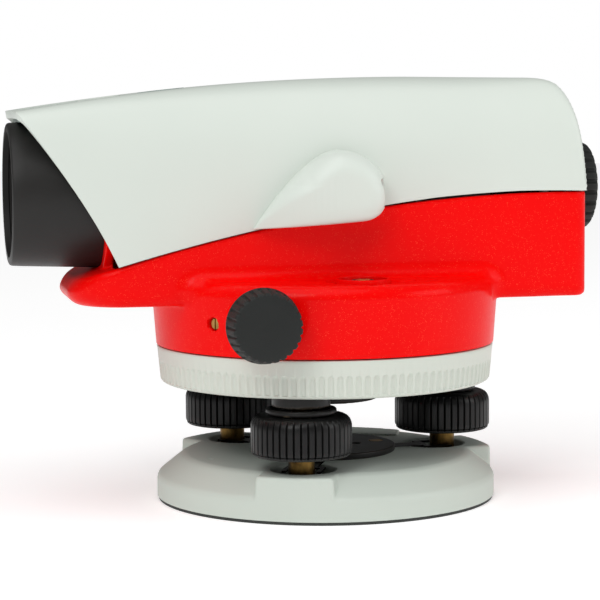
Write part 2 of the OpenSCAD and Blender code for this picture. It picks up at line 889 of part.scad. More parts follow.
// ---- drives ----
module shaft_bushes() {
    color("#b08d48") {
        for (s = [-1, 1])
            scale([1, s, 1])
                difference() {
                    shaft_y(drive_x, drive_z, 42, drive_boss_y, drive_bush_r);
                    shaft_y(drive_x, drive_z, 40, 60, drive_shaft_r + run);
                }
        difference() {
            shaft_y(focus_x, focus_z, 25, 29.4, focus_bush_r);
            shaft_y(focus_x, focus_z, 20, 32, focus_shaft_r + run);
        }
    }
}
module drive_shaft() {
    color("#9c9c9c")
        union() {
            shaft_y(drive_x, drive_z, -knob_bore_y, knob_bore_y, drive_shaft_r);
            shaft_y(drive_x, drive_z, -worm_l / 2, worm_l / 2, worm_r);
        }
}
module drive_knob(s) {
    color("#232423")
        translate([drive_x, 0, drive_z])
            rotate([-90 * s, 0, 0])
                rotate_extrude()
                    polygon([[drive_shaft_r, drive_knob_y0], [drive_knob_r + 0.2, drive_knob_y0],
                        [drive_knob_r + 0.6, drive_knob_y0 + 0.8], [drive_knob_r, drive_knob_y - 0.6],
                        [drive_knob_r - 0.6, drive_knob_y], [0, drive_knob_y], [0, knob_bore_y],
                        [drive_shaft_r, knob_bore_y]]);
}
module cover_screws() {
    color("#8a8a86")
        for (p = boss_points)
            translate([p[0], p[1], 0]) {
                cylinder_between(belly_z + 0.4, belly_z + 0.4 + screw_head_h, screw_head_r);
                cylinder_between(belly_z + screw_head_h, edge_z(p[0]) + cover_boss_h - 3, screw_r);
            }
}
module worm_adjusting_screw() {
    color("#b08d48")
        rotate([0, 0, worm_screw_angle])
            translate([drum_r0 - 3.5, 0, worm_screw_z])
                rotate([0, 90, 0])
                    difference() {
                        cylinder(h = 3, r = worm_screw_r);
                        translate([-2, -0.25, 2.4])
                            cube([4, 0.5, 2]);
                    }
}
module circle_window() {
    color([0.9, 0.95, 1, 0.5])
        translate([drum_inner_r - 1.4, -window_w / 2, window_z - window_h / 2])
            cube([1.6, window_w, window_h]);
}
module sight_pointer() {
    color("#f2f2ee")
        translate([-79, 0, trough_z])
            linear_extrude(1.6)
                polygon([[-2, -1.6], [2, -1.6], [2, 1.6], [-2, 1.6]]);
}

base_plate();
base_skirt();
thread_insert();
spring_plate();
retaining_disc();
disc_screws();
color("#9a9a90") foot_seat(2);  // foot_seat_2
color("#9a9a90") foot_seat(3);  // foot_seat_3
hub_body();
footscrew_bushes();
axis_bush();
ring_spring();
footscrew_sleeve(1);  // footscrew_sleeve_1
footscrew_sleeve(2);  // footscrew_sleeve_2
footscrew_sleeve(3);  // footscrew_sleeve_3
footscrew_knob(1);  // footscrew_knob_1
footscrew_knob(2);  // footscrew_knob_2
footscrew_knob(3);  // footscrew_knob_3
footscrew_spindle(1);  // footscrew_spindle_1
footscrew_spindle(2);  // footscrew_spindle_2
footscrew_spindle(3);  // footscrew_spindle_3
setting_ring();
degree_scale();
worm_wheel();
clutch_spring();
lower_housing();
top_cover();
drum_plate();
axis_spindle();
axis_nut();
prism_housing();
level_prism();
level_housing();
level_vial();
objective_tube();
objective_lens();
objective_ring();
telescope_tube();
compensator_frame();
fixed_prisms();
reticle();
eyepiece_barrel();
shaft_bushes();
cover_screws();
worm_adjusting_screw();
circle_window();
sight_pointer();
focus_cell();
focus_lens();
focus_knob();
focus_pinion();
pendulum();
pendulum_prism();
suspension_tapes();
drive_shaft();
drive_knob(-1);  // drive_knob_left
drive_knob(1);  // drive_knob_right
eyepiece_cell();
eyepiece_lens();
eyepiece_ring();
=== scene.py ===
"""Looks of an automatic level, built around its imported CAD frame.

Lengths are in millimetres until a mesh is made, and places come from the CAD nodes' boxes.
Castings and mouldings with blended walls are carved from a distance field, turned parts are lathed,
and the thin cover is a loft.
"""

import json
import math

import bmesh
import bpy
import numpy as np
from mathutils import Matrix, Vector


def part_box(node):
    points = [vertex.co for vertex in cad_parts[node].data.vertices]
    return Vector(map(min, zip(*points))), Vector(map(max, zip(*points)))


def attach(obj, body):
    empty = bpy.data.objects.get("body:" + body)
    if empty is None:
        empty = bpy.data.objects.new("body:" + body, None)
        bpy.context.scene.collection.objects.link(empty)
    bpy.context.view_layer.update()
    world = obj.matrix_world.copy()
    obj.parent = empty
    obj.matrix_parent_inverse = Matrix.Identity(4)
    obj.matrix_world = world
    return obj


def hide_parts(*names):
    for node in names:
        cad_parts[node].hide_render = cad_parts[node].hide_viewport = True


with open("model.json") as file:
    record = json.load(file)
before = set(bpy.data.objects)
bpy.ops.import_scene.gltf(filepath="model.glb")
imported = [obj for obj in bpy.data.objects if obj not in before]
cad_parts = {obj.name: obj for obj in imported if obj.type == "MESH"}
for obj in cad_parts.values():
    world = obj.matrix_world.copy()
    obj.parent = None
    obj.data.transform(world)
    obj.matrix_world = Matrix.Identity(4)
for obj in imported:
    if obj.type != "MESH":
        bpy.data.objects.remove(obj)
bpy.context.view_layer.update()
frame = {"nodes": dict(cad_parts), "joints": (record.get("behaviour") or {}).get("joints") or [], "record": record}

MM = 0.001


# ---- sizes, in millimetres, from the frame ----
def box_mm(node):
    """Lowest and highest corner of a CAD node, in millimetres."""
    low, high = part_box(node)
    return np.array(low) / MM, np.array(high) / MM


def centre_mm(node):
    low, high = box_mm(node)
    return (low + high) / 2


def joint_mm(name):
    """A hinge's place, in millimetres."""
    row = next(j for j in frame["joints"] if j["name"] == name)
    return np.array(row["pos_m"]) / MM


BASE_LOW, BASE_HIGH = box_mm("base_plate")
BASE_R, BASE_H = BASE_HIGH[0], BASE_HIGH[2]
SKIRT_H = BASE_LOW[2]
FEET = [centre_mm(f"footscrew_knob_{i}")[:2] for i in (1, 2, 3)]
FOOT_ANGLES = [math.atan2(y, x) for x, y in FEET]
RING_LOW, RING_HIGH = box_mm("setting_ring")
DRUM_Z0 = box_mm("lower_housing")[0][2]
DRUM_R1 = box_mm("lower_housing")[1][1]
DRUM_R0 = RING_HIGH[0] + 0.2
NOSE_X, TAIL_X = box_mm("lower_housing")[0][0], box_mm("lower_housing")[1][0]
ROOF_Z = box_mm("axis_spindle")[1][2]
SHOULDER_Z = ROOF_Z + 2
AXIS_Z = centre_mm("objective_tube")[2]
TUBE_R = 21.9
RIM_X = box_mm("objective_tube")[0][0]
LEVEL_X, LEVEL_Y = centre_mm("level_housing")[:2]
LEVEL_R = box_mm("level_vial")[1][0] - LEVEL_X + 1.15
DRIVE = joint_mm("drive_turn")
FOCUS = joint_mm("focus_turn")

WALL = 2.2
BELLY_Z = 63.7
HOUSING_INSET = 0.6
HOUSING_GAP = 0.4
BULKHEAD_X = -72
PAD_W = 23.4
TUBE_ROOT_R = 23.0
EYEPIECE_HOLE_R = 14.5
AXIS_BORE_R = 50.2
PLUGS = ((18.4, -40), (25.1, -39))


# ---- curves ----
def bezier(points, steps):
    """Points of a cubic Bezier curve, ends included."""
    p = np.array(points, float)
    t = np.linspace(0, 1, steps + 1)[:, None]
    u = 1 - t
    return p[0] * u**3 + 3 * p[1] * u * u * t + 3 * p[2] * u * t * t + p[3] * t**3


CURVE_STEPS = 48
EDGE = bezier([(-68.6, 76.0), (-22, 89.5), (26, 97.8), (TAIL_X, 96.7)], CURVE_STEPS)
FRONT = bezier([(-68.6, 76.0), (-76, 92.5), (-86.5, 106.5), (-98, 122.4)], CURVE_STEPS)
CROWN = bezier([(-98, 122.6), (-60, 128.5), (-20, 132.6), (25, 132.4)], CURVE_STEPS)
TAIL = np.concatenate(
    [
        bezier([(60, 131.9), (67, 131.9), (70.2, 131.4), (72.0, 129.2)], 16)[:-1],
        bezier([(72.0, 129.2), (75.6, 124.0), (77.3, 115), (TAIL_X, 96.7)], CURVE_STEPS),
    ]
)
PLAN = bezier([(-110, 25.0), (-50, 28.6), (10, 29.2), (72, 26.2)], CURVE_STEPS)
SECTION = bezier([(29.4, 90), (27.9, 112), (24, 129), (12, 133.2)], CURVE_STEPS)


# ---- distance fields: below zero inside ----
def both(a, b, r):
    """Intersection of two fields, with its edge rounded to radius r."""
    return np.minimum(np.maximum(a, b), -r) + np.hypot(np.maximum(a + r, 0), np.maximum(b + r, 0))


def either(a, b, r):
    """Union of two fields, with a fillet of radius r."""
    return -both(-a, -b, r)


def less(a, b, r=0.01):
    """Field a with b taken away."""
    return both(a, -b, r)


def outline_field(points, u, v):
    """Signed distance to a closed outline in the plane of u and v."""
    best, inside = None, False
    points = np.asarray(points, float)
    for a, b in zip(points, np.roll(points, -1, axis=0)):
        eu, ev = b - a
        length2 = eu * eu + ev * ev
        if length2 < 1e-12:
            continue
        wu, wv = u - a[0], v - a[1]
        t = np.clip((wu * eu + wv * ev) / length2, 0, 1)
        d = (wu - eu * t) ** 2 + (wv - ev * t) ** 2
        best = d if best is None else np.minimum(best, d)
        spans = (a[1] <= v) != (b[1] <= v)
        if abs(ev) > 1e-9:
            inside = inside ^ (spans & (u < a[0] + eu * (v - a[1]) / ev))
    return np.where(inside, -1, 1) * np.sqrt(best)


def half_width(x, z):
    """Half the body's width: its plan and its cross-section, blended where they meet."""
    plan = np.interp(x, PLAN[:, 0], PLAN[:, 1])
    section = np.interp(z, SECTION[:, 1], SECTION[:, 0], left=SECTION[0, 0], right=0)
    blend = 2.5
    h = np.maximum(blend - abs(plan - section), 0) / blend
    return np.minimum(plan, section) - h * h * blend / 4


def side_walls(x, y, z):
    """Distance to the body's long side walls."""
    d = 0.4
    slope = (half_width(x, z + d) - half_width(x, z - d)) / (2 * d)
    return (abs(y) - half_width(x, z)) / np.sqrt(1 + slope * slope)


COVER_SIDE = np.concatenate([[(-140, 60), (-140, 115.5)], CROWN, TAIL, [(TAIL_X + 0.6, 60)]])


def cover_field(x, y, z):
    """The outer skin of the cover, with no lower or front edge."""
    r = np.interp(x, [-98, -40, 40, 66], [2.5, 4, 4, 1.8])
    return both(side_walls(x, y, z), outline_field(COVER_SIDE, x, z), r)


# ---- meshes ----
def make_object(name, verts, faces, smooth=True):
    """An object from vertices in millimetres."""
    mesh = bpy.data.meshes.new(name)
    mesh.from_pydata((np.asarray(verts, float) * MM).tolist(), [], [list(map(int, f)) for f in faces])
    mesh.validate()
    mesh.polygons.foreach_set("use_smooth", [smooth] * len(mesh.polygons))
    mesh.update()
    piece = bpy.data.objects.new(name, mesh)
    bpy.context.scene.collection.objects.link(piece)
    return piece


def face_outwards(piece):
    """Drops loose vertices and makes the faces of each closed shell point outwards."""
    bm = bmesh.new()
    bm.from_mesh(piece.data)
    bmesh.ops.delete(bm, geom=[v for v in bm.verts if not v.link_faces], context="VERTS")
    bmesh.ops.recalc_face_normals(bm, faces=bm.faces)
    bm.to_mesh(piece.data)
    bm.free()
    return piece


def apply_modifiers(piece):
    """Replaces the object's mesh by what its modifiers make of it."""
    graph = bpy.context.evaluated_depsgraph_get()
    mesh = bpy.data.meshes.new_from_object(piece.evaluated_get(graph))
    piece.modifiers.clear()
    piece.data = mesh
    return piece


def shade_by_angle(piece, degrees=35):
    """Smooth shading, with edges sharper than the angle kept crisp."""
    piece.data.polygons.foreach_set("use_smooth", [True] * len(piece.data.polygons))
    piece.data.set_sharp_from_angle(angle=math.radians(degrees))
    return piece


def round_edges(piece, width, degrees=40):
    """Bevels the edges that are sharper than the angle."""
    bevel = piece.modifiers.new("edges", "BEVEL")
    bevel.width = width * MM
    bevel.segments = 2
    bevel.limit_method = "ANGLE"
    bevel.angle_limit = math.radians(degrees)
    return apply_modifiers(piece)


def cut_away(piece, *cutters):
    """Exact boolean difference. The cutters are removed."""
    for cutter in cutters:
        boolean = piece.modifiers.new("cut", "BOOLEAN")
        boolean.operation = "DIFFERENCE"
        boolean.solver = "EXACT"
        boolean.object = cutter
        apply_modifiers(piece)
        bpy.data.objects.remove(cutter)
    return piece


def turned(name, profile, segments=128, radius=None, centre=(0, 0, 0), axis="Z"):
    """Lathes a closed profile of (radius, height) points. radius(angle, r, h) may shape ribs."""
    profile = np.array(profile, float)
    n = len(profile)
    pole = profile[:, 0] < 1e-6
    angles = (np.arange(segments) + 0.27) * 2 * np.pi / segments
    a, r = np.meshgrid(angles, profile[:, 0], indexing="ij")
    h = np.broadcast_to(profile[:, 1], a.shape)
    if radius is not None:
        r = np.where(pole, 0, radius(a, r, h))
    verts = np.stack([r * np.cos(a), r * np.sin(a), h], axis=-1).reshape(-1, 3)
    faces = []
    for i in range(segments):
        j = (i + 1) % segments
        for k in range(n):
            m = (k + 1) % n
            if pole[k] and pole[m]:
                continue
            near, far = (0 if pole[k] else i) * n + k, (0 if pole[m] else i) * n + m
            if pole[k]:
                faces.append([near, j * n + m, far])
            elif pole[m]:
                faces.append([near, j * n + k, far])
            else:
                faces.append([near, j * n + k, j * n + m, far])
    if axis == "X":
        verts = verts[:, [2, 0, 1]]
    if axis == "Y":
        verts = verts[:, [1, 2, 0]]
    return shade_by_angle(face_outwards(make_object(name, verts + np.array(centre, float), faces)))


def rounded(profile, radii, steps=4):
    """A profile with its corners rounded. radii holds one radius for each corner, 0 for a sharp one."""
    points, n = [], len(profile)
    for i, (p, r) in enumerate(zip(np.array(profile, float), radii)):
        before, after = np.array(profile[i - 1], float), np.array(profile[(i + 1) % n], float)
        if r <= 0:
            points.append(p)
            continue
        u, v = before - p, after - p
        lu, lv = np.linalg.norm(u), np.linalg.norm(v)
        half = math.acos(np.clip(u @ v / lu / lv, -1, 1)) / 2
        back = min(r / math.tan(half), 0.49 * lu, 0.49 * lv)
        a, b = p + u / lu * back, p + v / lv * back
        for t in np.linspace(0, 1, steps + 1):
            points.append(a * (1 - t) ** 2 + 2 * p * t * (1 - t) + b * t * t)
    return np.array(points)


SURFACE_PASSES = 3  # rounds of moving vertices onto the field's surface
CELL_CORNERS = [(i, j, k) for i in (0, 1) for j in (0, 1) for k in (0, 1)]
CELL_EDGES = [
    (a, b)
    for a in range(8)
    for b in range(a + 1, 8)
    if sum(abs(p - q) for p, q in zip(CELL_CORNERS[a], CELL_CORNERS[b])) == 1
]


def gradient(field, points):
    """The field's slope at each point, by central differences."""
    d = 0.03
    x, y, z = points.T
    return np.stack(
        [
            field(x + d, y, z) - field(x - d, y, z),
            field(x, y + d, z) - field(x, y - d, z),
            field(x, y, z + d) - field(x, y, z - d),
        ],
        axis=1,
    ) / (2 * d)


def net_of(field, low, high, step):
    """Vertices and quads on the field's zero surface: one vertex in each grid cell that it crosses."""
    axes = [np.arange(a, b + step, step) for a, b in zip(low, high)]
    grid = np.meshgrid(*axes, indexing="ij", sparse=True)
    shape = tuple(len(a) for a in axes)
    values = np.broadcast_to(field(*grid), shape).astype(np.float32)
    inside = values < 0
    cells = tuple(n - 1 for n in shape)
    count = np.zeros(cells, np.int8)
    for i, j, k in CELL_CORNERS:
        count += inside[i : i + cells[0], j : j + cells[1], k : k + cells[2]]
    ci, cj, ck = np.nonzero((count > 0) & (count < 8))
    index = np.full(cells, -1, np.int64)
    index[ci, cj, ck] = np.arange(len(ci))
    corner = [values[ci + i, cj + j, ck + k] for i, j, k in CELL_CORNERS]
    total, crossings = np.zeros((len(ci), 3)), np.zeros(len(ci))
    for a, b in CELL_EDGES:
        crossed = (corner[a] < 0) != (corner[b] < 0)
        t = np.where(crossed, corner[a] / np.where(crossed, corner[a] - corner[b], 1), 0)
        pa, pb = np.array(CELL_CORNERS[a], float), np.array(CELL_CORNERS[b], float)
        total += np.where(crossed[:, None], pa + (pb - pa) * t[:, None], 0)
        crossings += crossed
    cell = np.stack([ci, cj, ck], axis=1) + total / crossings[:, None]
    verts = np.array([a[0] for a in axes]) + cell * step
    quads = []
    for axis in range(3):
        u, v = [d for d in range(3) if d != axis]
        first = [slice(None)] * 3
        second = [slice(None)] * 3
        first[axis], second[axis] = slice(0, -1), slice(1, None)
        change = inside[tuple(first)] != inside[tuple(second)]
        where = np.array(np.nonzero(change))
        keep = (where[u] > 0) & (where[v] > 0) & (where[u] < cells[u]) & (where[v] < cells[v])
        where = where[:, keep]
        leaving = inside[tuple(where)]
        around = []
        for du, dv in ((-1, -1), (0, -1), (0, 0), (-1, 0)):
            spot = where.copy()
            spot[u] += du
            spot[v] += dv
            around.append(index[tuple(spot)])
        quad = np.stack(around, axis=1)
        flip = leaving if axis != 1 else ~leaving
        quads.append(np.where(flip[:, None], quad, quad[:, ::-1]))
    return verts, np.concatenate(quads)


def carved(name, field, low, high, step, floor=None):
    """A closed object from a distance field. floor is the height of a flat, crisp cut."""
    verts, quads = net_of(field, low, high, step)
    for _ in range(SURFACE_PASSES):
        slope = gradient(field, verts)
        move = slope * (field(*verts.T) / np.maximum((slope**2).sum(1), 0.05))[:, None]
        length = np.linalg.norm(move, axis=1, keepdims=True)
        verts = verts - move * np.minimum(1, 0.6 * step / np.maximum(length, 1e-9))
    piece = make_object(name, verts, quads)
    bm = bmesh.new()
    bm.from_mesh(piece.data)
    if floor is not None:
        everything = bm.verts[:] + bm.edges[:] + bm.faces[:]
        down = (0, 0, -1)
        cut = bmesh.ops.bisect_plane(
            bm, geom=everything, plane_co=(0, 0, floor * MM), plane_no=down, clear_outer=True, dist=1e-7
        )
        rim = [e for e in cut["geom_cut"] if isinstance(e, bmesh.types.BMEdge)]
        filled = bmesh.ops.triangle_fill(bm, edges=rim, normal=down, use_beauty=True)
        for face in filled["geom"]:
            if isinstance(face, bmesh.types.BMFace):
                face.smooth = False
    bmesh.ops.recalc_face_normals(bm, faces=bm.faces)
    bm.to_mesh(piece.data)
    bm.free()
    shade_by_field(piece, field)
    return piece


def shade_by_field(piece, field):
    """Takes the smooth faces' normals from the field's slope, so blends shade without facets."""
    mesh = piece.data
    co = np.zeros(len(mesh.vertices) * 3)
    mesh.vertices.foreach_get("co", co)
    slope = gradient(field, co.reshape(-1, 3) / MM)
    length = np.linalg.norm(slope, axis=1, keepdims=True)
    normal = slope / np.maximum(length, 1e-9)
    corner_vertex = np.zeros(len(mesh.loops), int)
    mesh.loops.foreach_get("vertex_index", corner_vertex)
    is_smooth = np.zeros(len(mesh.polygons), bool)
    mesh.polygons.foreach_get("use_smooth", is_smooth)
    totals = np.zeros(len(mesh.polygons), int)
    mesh.polygons.foreach_get("loop_total", totals)
    face_normal = np.zeros(len(mesh.polygons) * 3)
    mesh.polygons.foreach_get("normal", face_normal)
    face_of_corner = np.repeat(np.arange(len(mesh.polygons)), totals)
    of_face = face_normal.reshape(-1, 3)[face_of_corner]
    of_field = normal[corner_vertex]
    agrees = (of_face * of_field).sum(1) > 0.5
    use = is_smooth[face_of_corner] & agrees
    chosen = np.where(use[:, None], of_field, of_face)
    mesh.polygons.foreach_set("use_smooth", [True] * len(mesh.polygons))
    mesh.normals_split_custom_set(chosen.tolist())


# ---- materials ----
def srgb(r, g, b):
    """Linear colour from 0 to 255 values."""
    def linear(c):
        c /= 255
        return c / 12.92 if c <= 0.04045 else ((c + 0.055) / 1.055) ** 2.4

    return (linear(r), linear(g), linear(b), 1)


class Maker:
    """Builds a node material: Principled BSDF with noise-driven colour, roughness and bump."""

    def __init__(self, name, roughness=0.5, metallic=0.0, **constants):
        self.material = bpy.data.materials.new(name)
        self.material.use_nodes = True
        self.nodes = self.material.node_tree.nodes
        self.links = self.material.node_tree.links
        self.shader = self.nodes["Principled BSDF"]
        self.shader.inputs["Roughness"].default_value = roughness
        self.shader.inputs["Metallic"].default_value = metallic
        for key, value in constants.items():
            self.shader.inputs[key.replace("_", " ")].default_value = value
        self.place = self.nodes.new("ShaderNodeTexCoord").outputs["Object"]

    def noise(self, scale, detail=3.0, stretch=None):
        """Noise with its scale in features per metre."""
        place = self.place
        if stretch is not None:
            mapping = self.nodes.new("ShaderNodeMapping")
            mapping.inputs["Scale"].default_value = stretch
            self.links.new(place, mapping.inputs["Vector"])
            place = mapping.outputs["Vector"]
        node = self.nodes.new("ShaderNodeTexNoise")
        node.inputs["Scale"].default_value = scale
        node.inputs["Detail"].default_value = detail
        node.inputs["Roughness"].default_value = 0.55
        self.links.new(place, node.inputs["Vector"])
        return node.outputs["Fac"]

    def cells(self, scale):
        """Distance to the nearest of scattered points."""
        node = self.nodes.new("ShaderNodeTexVoronoi")
        node.inputs["Scale"].default_value = scale
        self.links.new(self.place, node.inputs["Vector"])
        return node.outputs["Distance"]

    def grey_ramp(self, fac, low, high):
        """Grey ramp between two (position, value) stops."""
        node = self.nodes.new("ShaderNodeValToRGB")
        for element, (position, value) in zip(node.color_ramp.elements, (low, high)):
            element.position = position
            element.color = (value, value, value, 1)
        self.links.new(fac, node.inputs["Fac"])
        return node.outputs["Color"]

    def mix(self, fac, a, b, blend="MIX"):
        """Mixes two colours. Each may be a socket or a constant."""
        node = self.nodes.new("ShaderNodeMix")
        node.data_type = "RGBA"
        node.blend_type = blend
        for socket, value in (("Factor", fac), ("A", a), ("B", b)):
            slot = next(s for s in node.inputs if s.name == socket and s.enabled)
            if isinstance(value, bpy.types.NodeSocket):
                self.links.new(value, slot)
            else:
                slot.default_value = value
        return next(s for s in node.outputs if s.enabled)

    def scaled(self, fac, low, high):
        """Maps a 0 to 1 value to a range."""
        node = self.nodes.new("ShaderNodeMapRange")
        node.inputs["To Min"].default_value = low
        node.inputs["To Max"].default_value = high
        self.links.new(fac, node.inputs["Value"])
        return node.outputs["Result"]

    def set(self, name, socket):
        self.links.new(socket, self.shader.inputs[name])

    def bump(self, height, distance_mm):
        """Bump from a height of 0 to 1, with its depth in millimetres."""
        node = self.nodes.new("ShaderNodeBump")
        node.inputs["Strength"].default_value = 1.0
        node.inputs["Distance"].default_value = distance_mm * MM
        self.links.new(height, node.inputs["Height"])
        self.set("Normal", node.outputs["Normal"])

    def edges(self):
        """Near 1 along worn convex edges, from the mesh's pointiness."""
        geometry = self.nodes.new("ShaderNodeNewGeometry")
        return self.grey_ramp(geometry.outputs["Pointiness"], (0.53, 0), (0.60, 1))


def painted(name, colour, shade, roughness, grain_mm, grain_depth):
    """Paint or textured plastic: slow colour drift and fine grain."""
    m = Maker(name, roughness=roughness)
    m.set("Base Color", m.mix(m.noise(25, detail=2), colour, shade))
    grain = m.noise(1 / (grain_mm * MM), detail=3)
    m.set("Roughness", m.scaled(grain, roughness - 0.06, roughness + 0.08))
    m.bump(grain, grain_depth)
    return m.material


def red_paint():
    """Glossy red lacquer with fine light flecks and orange peel."""
    m = Maker("red_lacquer", roughness=0.3, Specular_IOR_Level=0.05, Coat_Weight=0.08, Coat_Roughness=0.1)
    drift = m.noise(30, detail=2)
    body = m.mix(drift, srgb(243, 3, 2), srgb(231, 2, 1))
    fleck = m.grey_ramp(m.cells(2500), (0.12, 1), (0.30, 0))
    patch = m.grey_ramp(m.noise(900, detail=1), (0.46, 0), (0.60, 1))
    fleck = m.mix(1.0, fleck, patch, "MULTIPLY")
    m.set("Base Color", m.mix(fleck, body, srgb(250, 84, 62)))
    m.set("Roughness", m.scaled(m.noise(700), 0.24, 0.40))
    m.bump(m.noise(1100, detail=2), 0.05)
    return m.material


def black_finish(name, colour, roughness, grain_mm=0.35, depth=0.02, dust=None):
    """Black plastic, rubber or anodising: fine grain and a trace of dust or wear on edges."""
    m = Maker(name, roughness=roughness, Specular_IOR_Level=0.3)
    grain = m.noise(1 / (grain_mm * MM), detail=4)
    body = m.mix(m.noise(60, detail=3), colour, tuple(min(1, c * 1.5) for c in colour[:3]) + (1,))
    if dust is not None:
        body = m.mix(m.edges(), body, dust)
    m.set("Base Color", body)
    m.set("Roughness", m.scaled(grain, roughness - 0.08, roughness + 0.1))
    m.bump(grain, depth)
    return m.material


def metal(name, colour, dark, roughness):
    """Turned metal: fine lathe lines and darker tarnish in patches."""
    m = Maker(name, roughness=roughness, metallic=1.0)
    lines = m.noise(400, detail=4, stretch=(1, 1, 12))
    tarnish = m.grey_ramp(m.noise(140, detail=4), (0.42, 0), (0.68, 1))
    m.set("Base Color", m.mix(tarnish, colour, dark))
    m.set("Roughness", m.scaled(lines, roughness - 0.1, roughness + 0.15))
    m.bump(lines, 0.01)
    return m.material


def clear(name, colour, ior=1.5):
    """Glass: clear, with a faint unevenness in its polish."""
    roughness = 0.02
    m = Maker(name, roughness=roughness, Transmission_Weight=1.0, IOR=ior)
    m.set("Base Color", m.mix(m.noise(80, detail=1), colour, tuple(c * 0.96 for c in colour[:3]) + (1,)))
    m.set("Roughness", m.scaled(m.noise(300), roughness, roughness + 0.02))
    return m.material


def coated_lens():
    """The front lens from outside: a dark pool with a green and violet coating. Its dark base colour is painted
    shade, the dark inside of the tube seen through the glass.
    """
    m = Maker("coated_lens", roughness=0.03, Coat_Weight=1.0, Coat_Roughness=0.02)
    m.shader.inputs["Coat Tint"].default_value = srgb(150, 200, 190)
    m.shader.inputs["Specular Tint"].default_value = srgb(170, 150, 230)
    # painted shade: dark base colour for the tube's dark inside behind the glass
    m.set("Base Color", m.mix(m.noise(60, detail=1), srgb(16, 20, 26), srgb(24, 22, 34)))
    return m.material


MATERIALS = {
    "cover_grey": painted("cover_paint", srgb(214, 221, 213), srgb(208, 216, 208), 0.42, 0.5, 0.012),
    "base_grey": painted("base_paint", srgb(200, 208, 199), srgb(192, 201, 192), 0.5, 0.45, 0.03),
    "ring_grey": painted("ring_plastic", srgb(208, 213, 203), srgb(201, 207, 197), 0.45, 0.4, 0.012),
    "housing_red": red_paint(),
    "black_plastic": black_finish("tube_black", srgb(29, 28, 27), 0.46, 0.4, 0.02),
    "black_metal": black_finish("hub_black", srgb(24, 23, 22), 0.38, 0.5, 0.02, srgb(84, 74, 60)),
    "knob_black": black_finish("screw_knob_black", srgb(15, 15, 15), 0.36, 0.35, 0.02, srgb(46, 46, 45)),
    "dark_rubber": black_finish("knob_rubber", srgb(27, 29, 28), 0.62, 0.3, 0.04, srgb(58, 60, 58)),
    "brass": metal("brass", srgb(196, 158, 92), srgb(112, 82, 42), 0.32),
    "steel": metal("steel", srgb(190, 190, 188), srgb(120, 118, 114), 0.3),
    "aluminium": metal("aluminium", srgb(206, 207, 208), srgb(150, 150, 150), 0.36),
    "glass": clear("optical_glass", srgb(236, 244, 240)),
    "level_glass": clear("level_liquid", srgb(206, 222, 120), ior=1.36),
    # darker grey-green: painted shade for the walls of the sighting trough, and for the thin sheet on the crown
    "trough_grey": painted("trough_grey", srgb(150, 165, 158), srgb(140, 156, 149), 0.5, 0.4, 0.012),
    "dark_brass": metal("dark_brass", srgb(132, 104, 56), srgb(54, 40, 22), 0.34),
    "black_spring": metal("black_spring", srgb(46, 42, 36), srgb(24, 21, 18), 0.4),
    "white_plastic": painted("white_plastic", srgb(236, 237, 232), srgb(228, 229, 224), 0.4, 0.4, 0.01),
}


def finish_as(piece, slot, body, *nodes, material=None):
    """Gives a piece the material of its slot, or the one given, and its body, and lets it stand for CAD nodes."""
    piece.data.materials.clear()
    piece.data.materials.append(material or MATERIALS[slot])
    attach(piece, body)
    if nodes:
        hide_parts(*nodes)
    return piece


# the spring plate and the footscrew spindles get darker metals than their slots give
DARKER_NODES = {"spring_plate": "black_spring", **{f"footscrew_spindle_{i}": "dark_brass" for i in (1, 2, 3)}}


def dress_cad_nodes():
    """Gives each CAD node that still shows the procedural material of its slot, or a darker one."""
    slots = [m["slot"] for m in frame["record"]["materials"]]
    for node_name, node in frame["nodes"].items():
        for entry in node.material_slots:
            name = entry.material.name.split(".")[0] if entry.material else ""
            if name in slots:
                entry.material = MATERIALS[DARKER_NODES.get(node_name, name)]


# ---- the red housing ----
def nose_top(x):
    """Upper limit of the housing: the line of the cover's edge, carried down over the nose."""
    line_x = np.concatenate([[NOSE_X - 4, NOSE_X, NOSE_X + 3, -74], EDGE[:, 0]])
    line_z = np.concatenate([[69.6, 70.5, 71.8, 74.3 - 0.2], EDGE[:, 1] - HOUSING_GAP])
    return np.interp(x, line_x, line_z)


def tub_field(x, y, z, inset, corner):
    """The long body under the cover, its walls moved in by inset and its rear corners rounded."""
    walls = side_walls(x, y, np.minimum(z, 90)) + HOUSING_INSET + inset
    return both(walls, x - (TAIL_X + 0.15 - inset), corner)


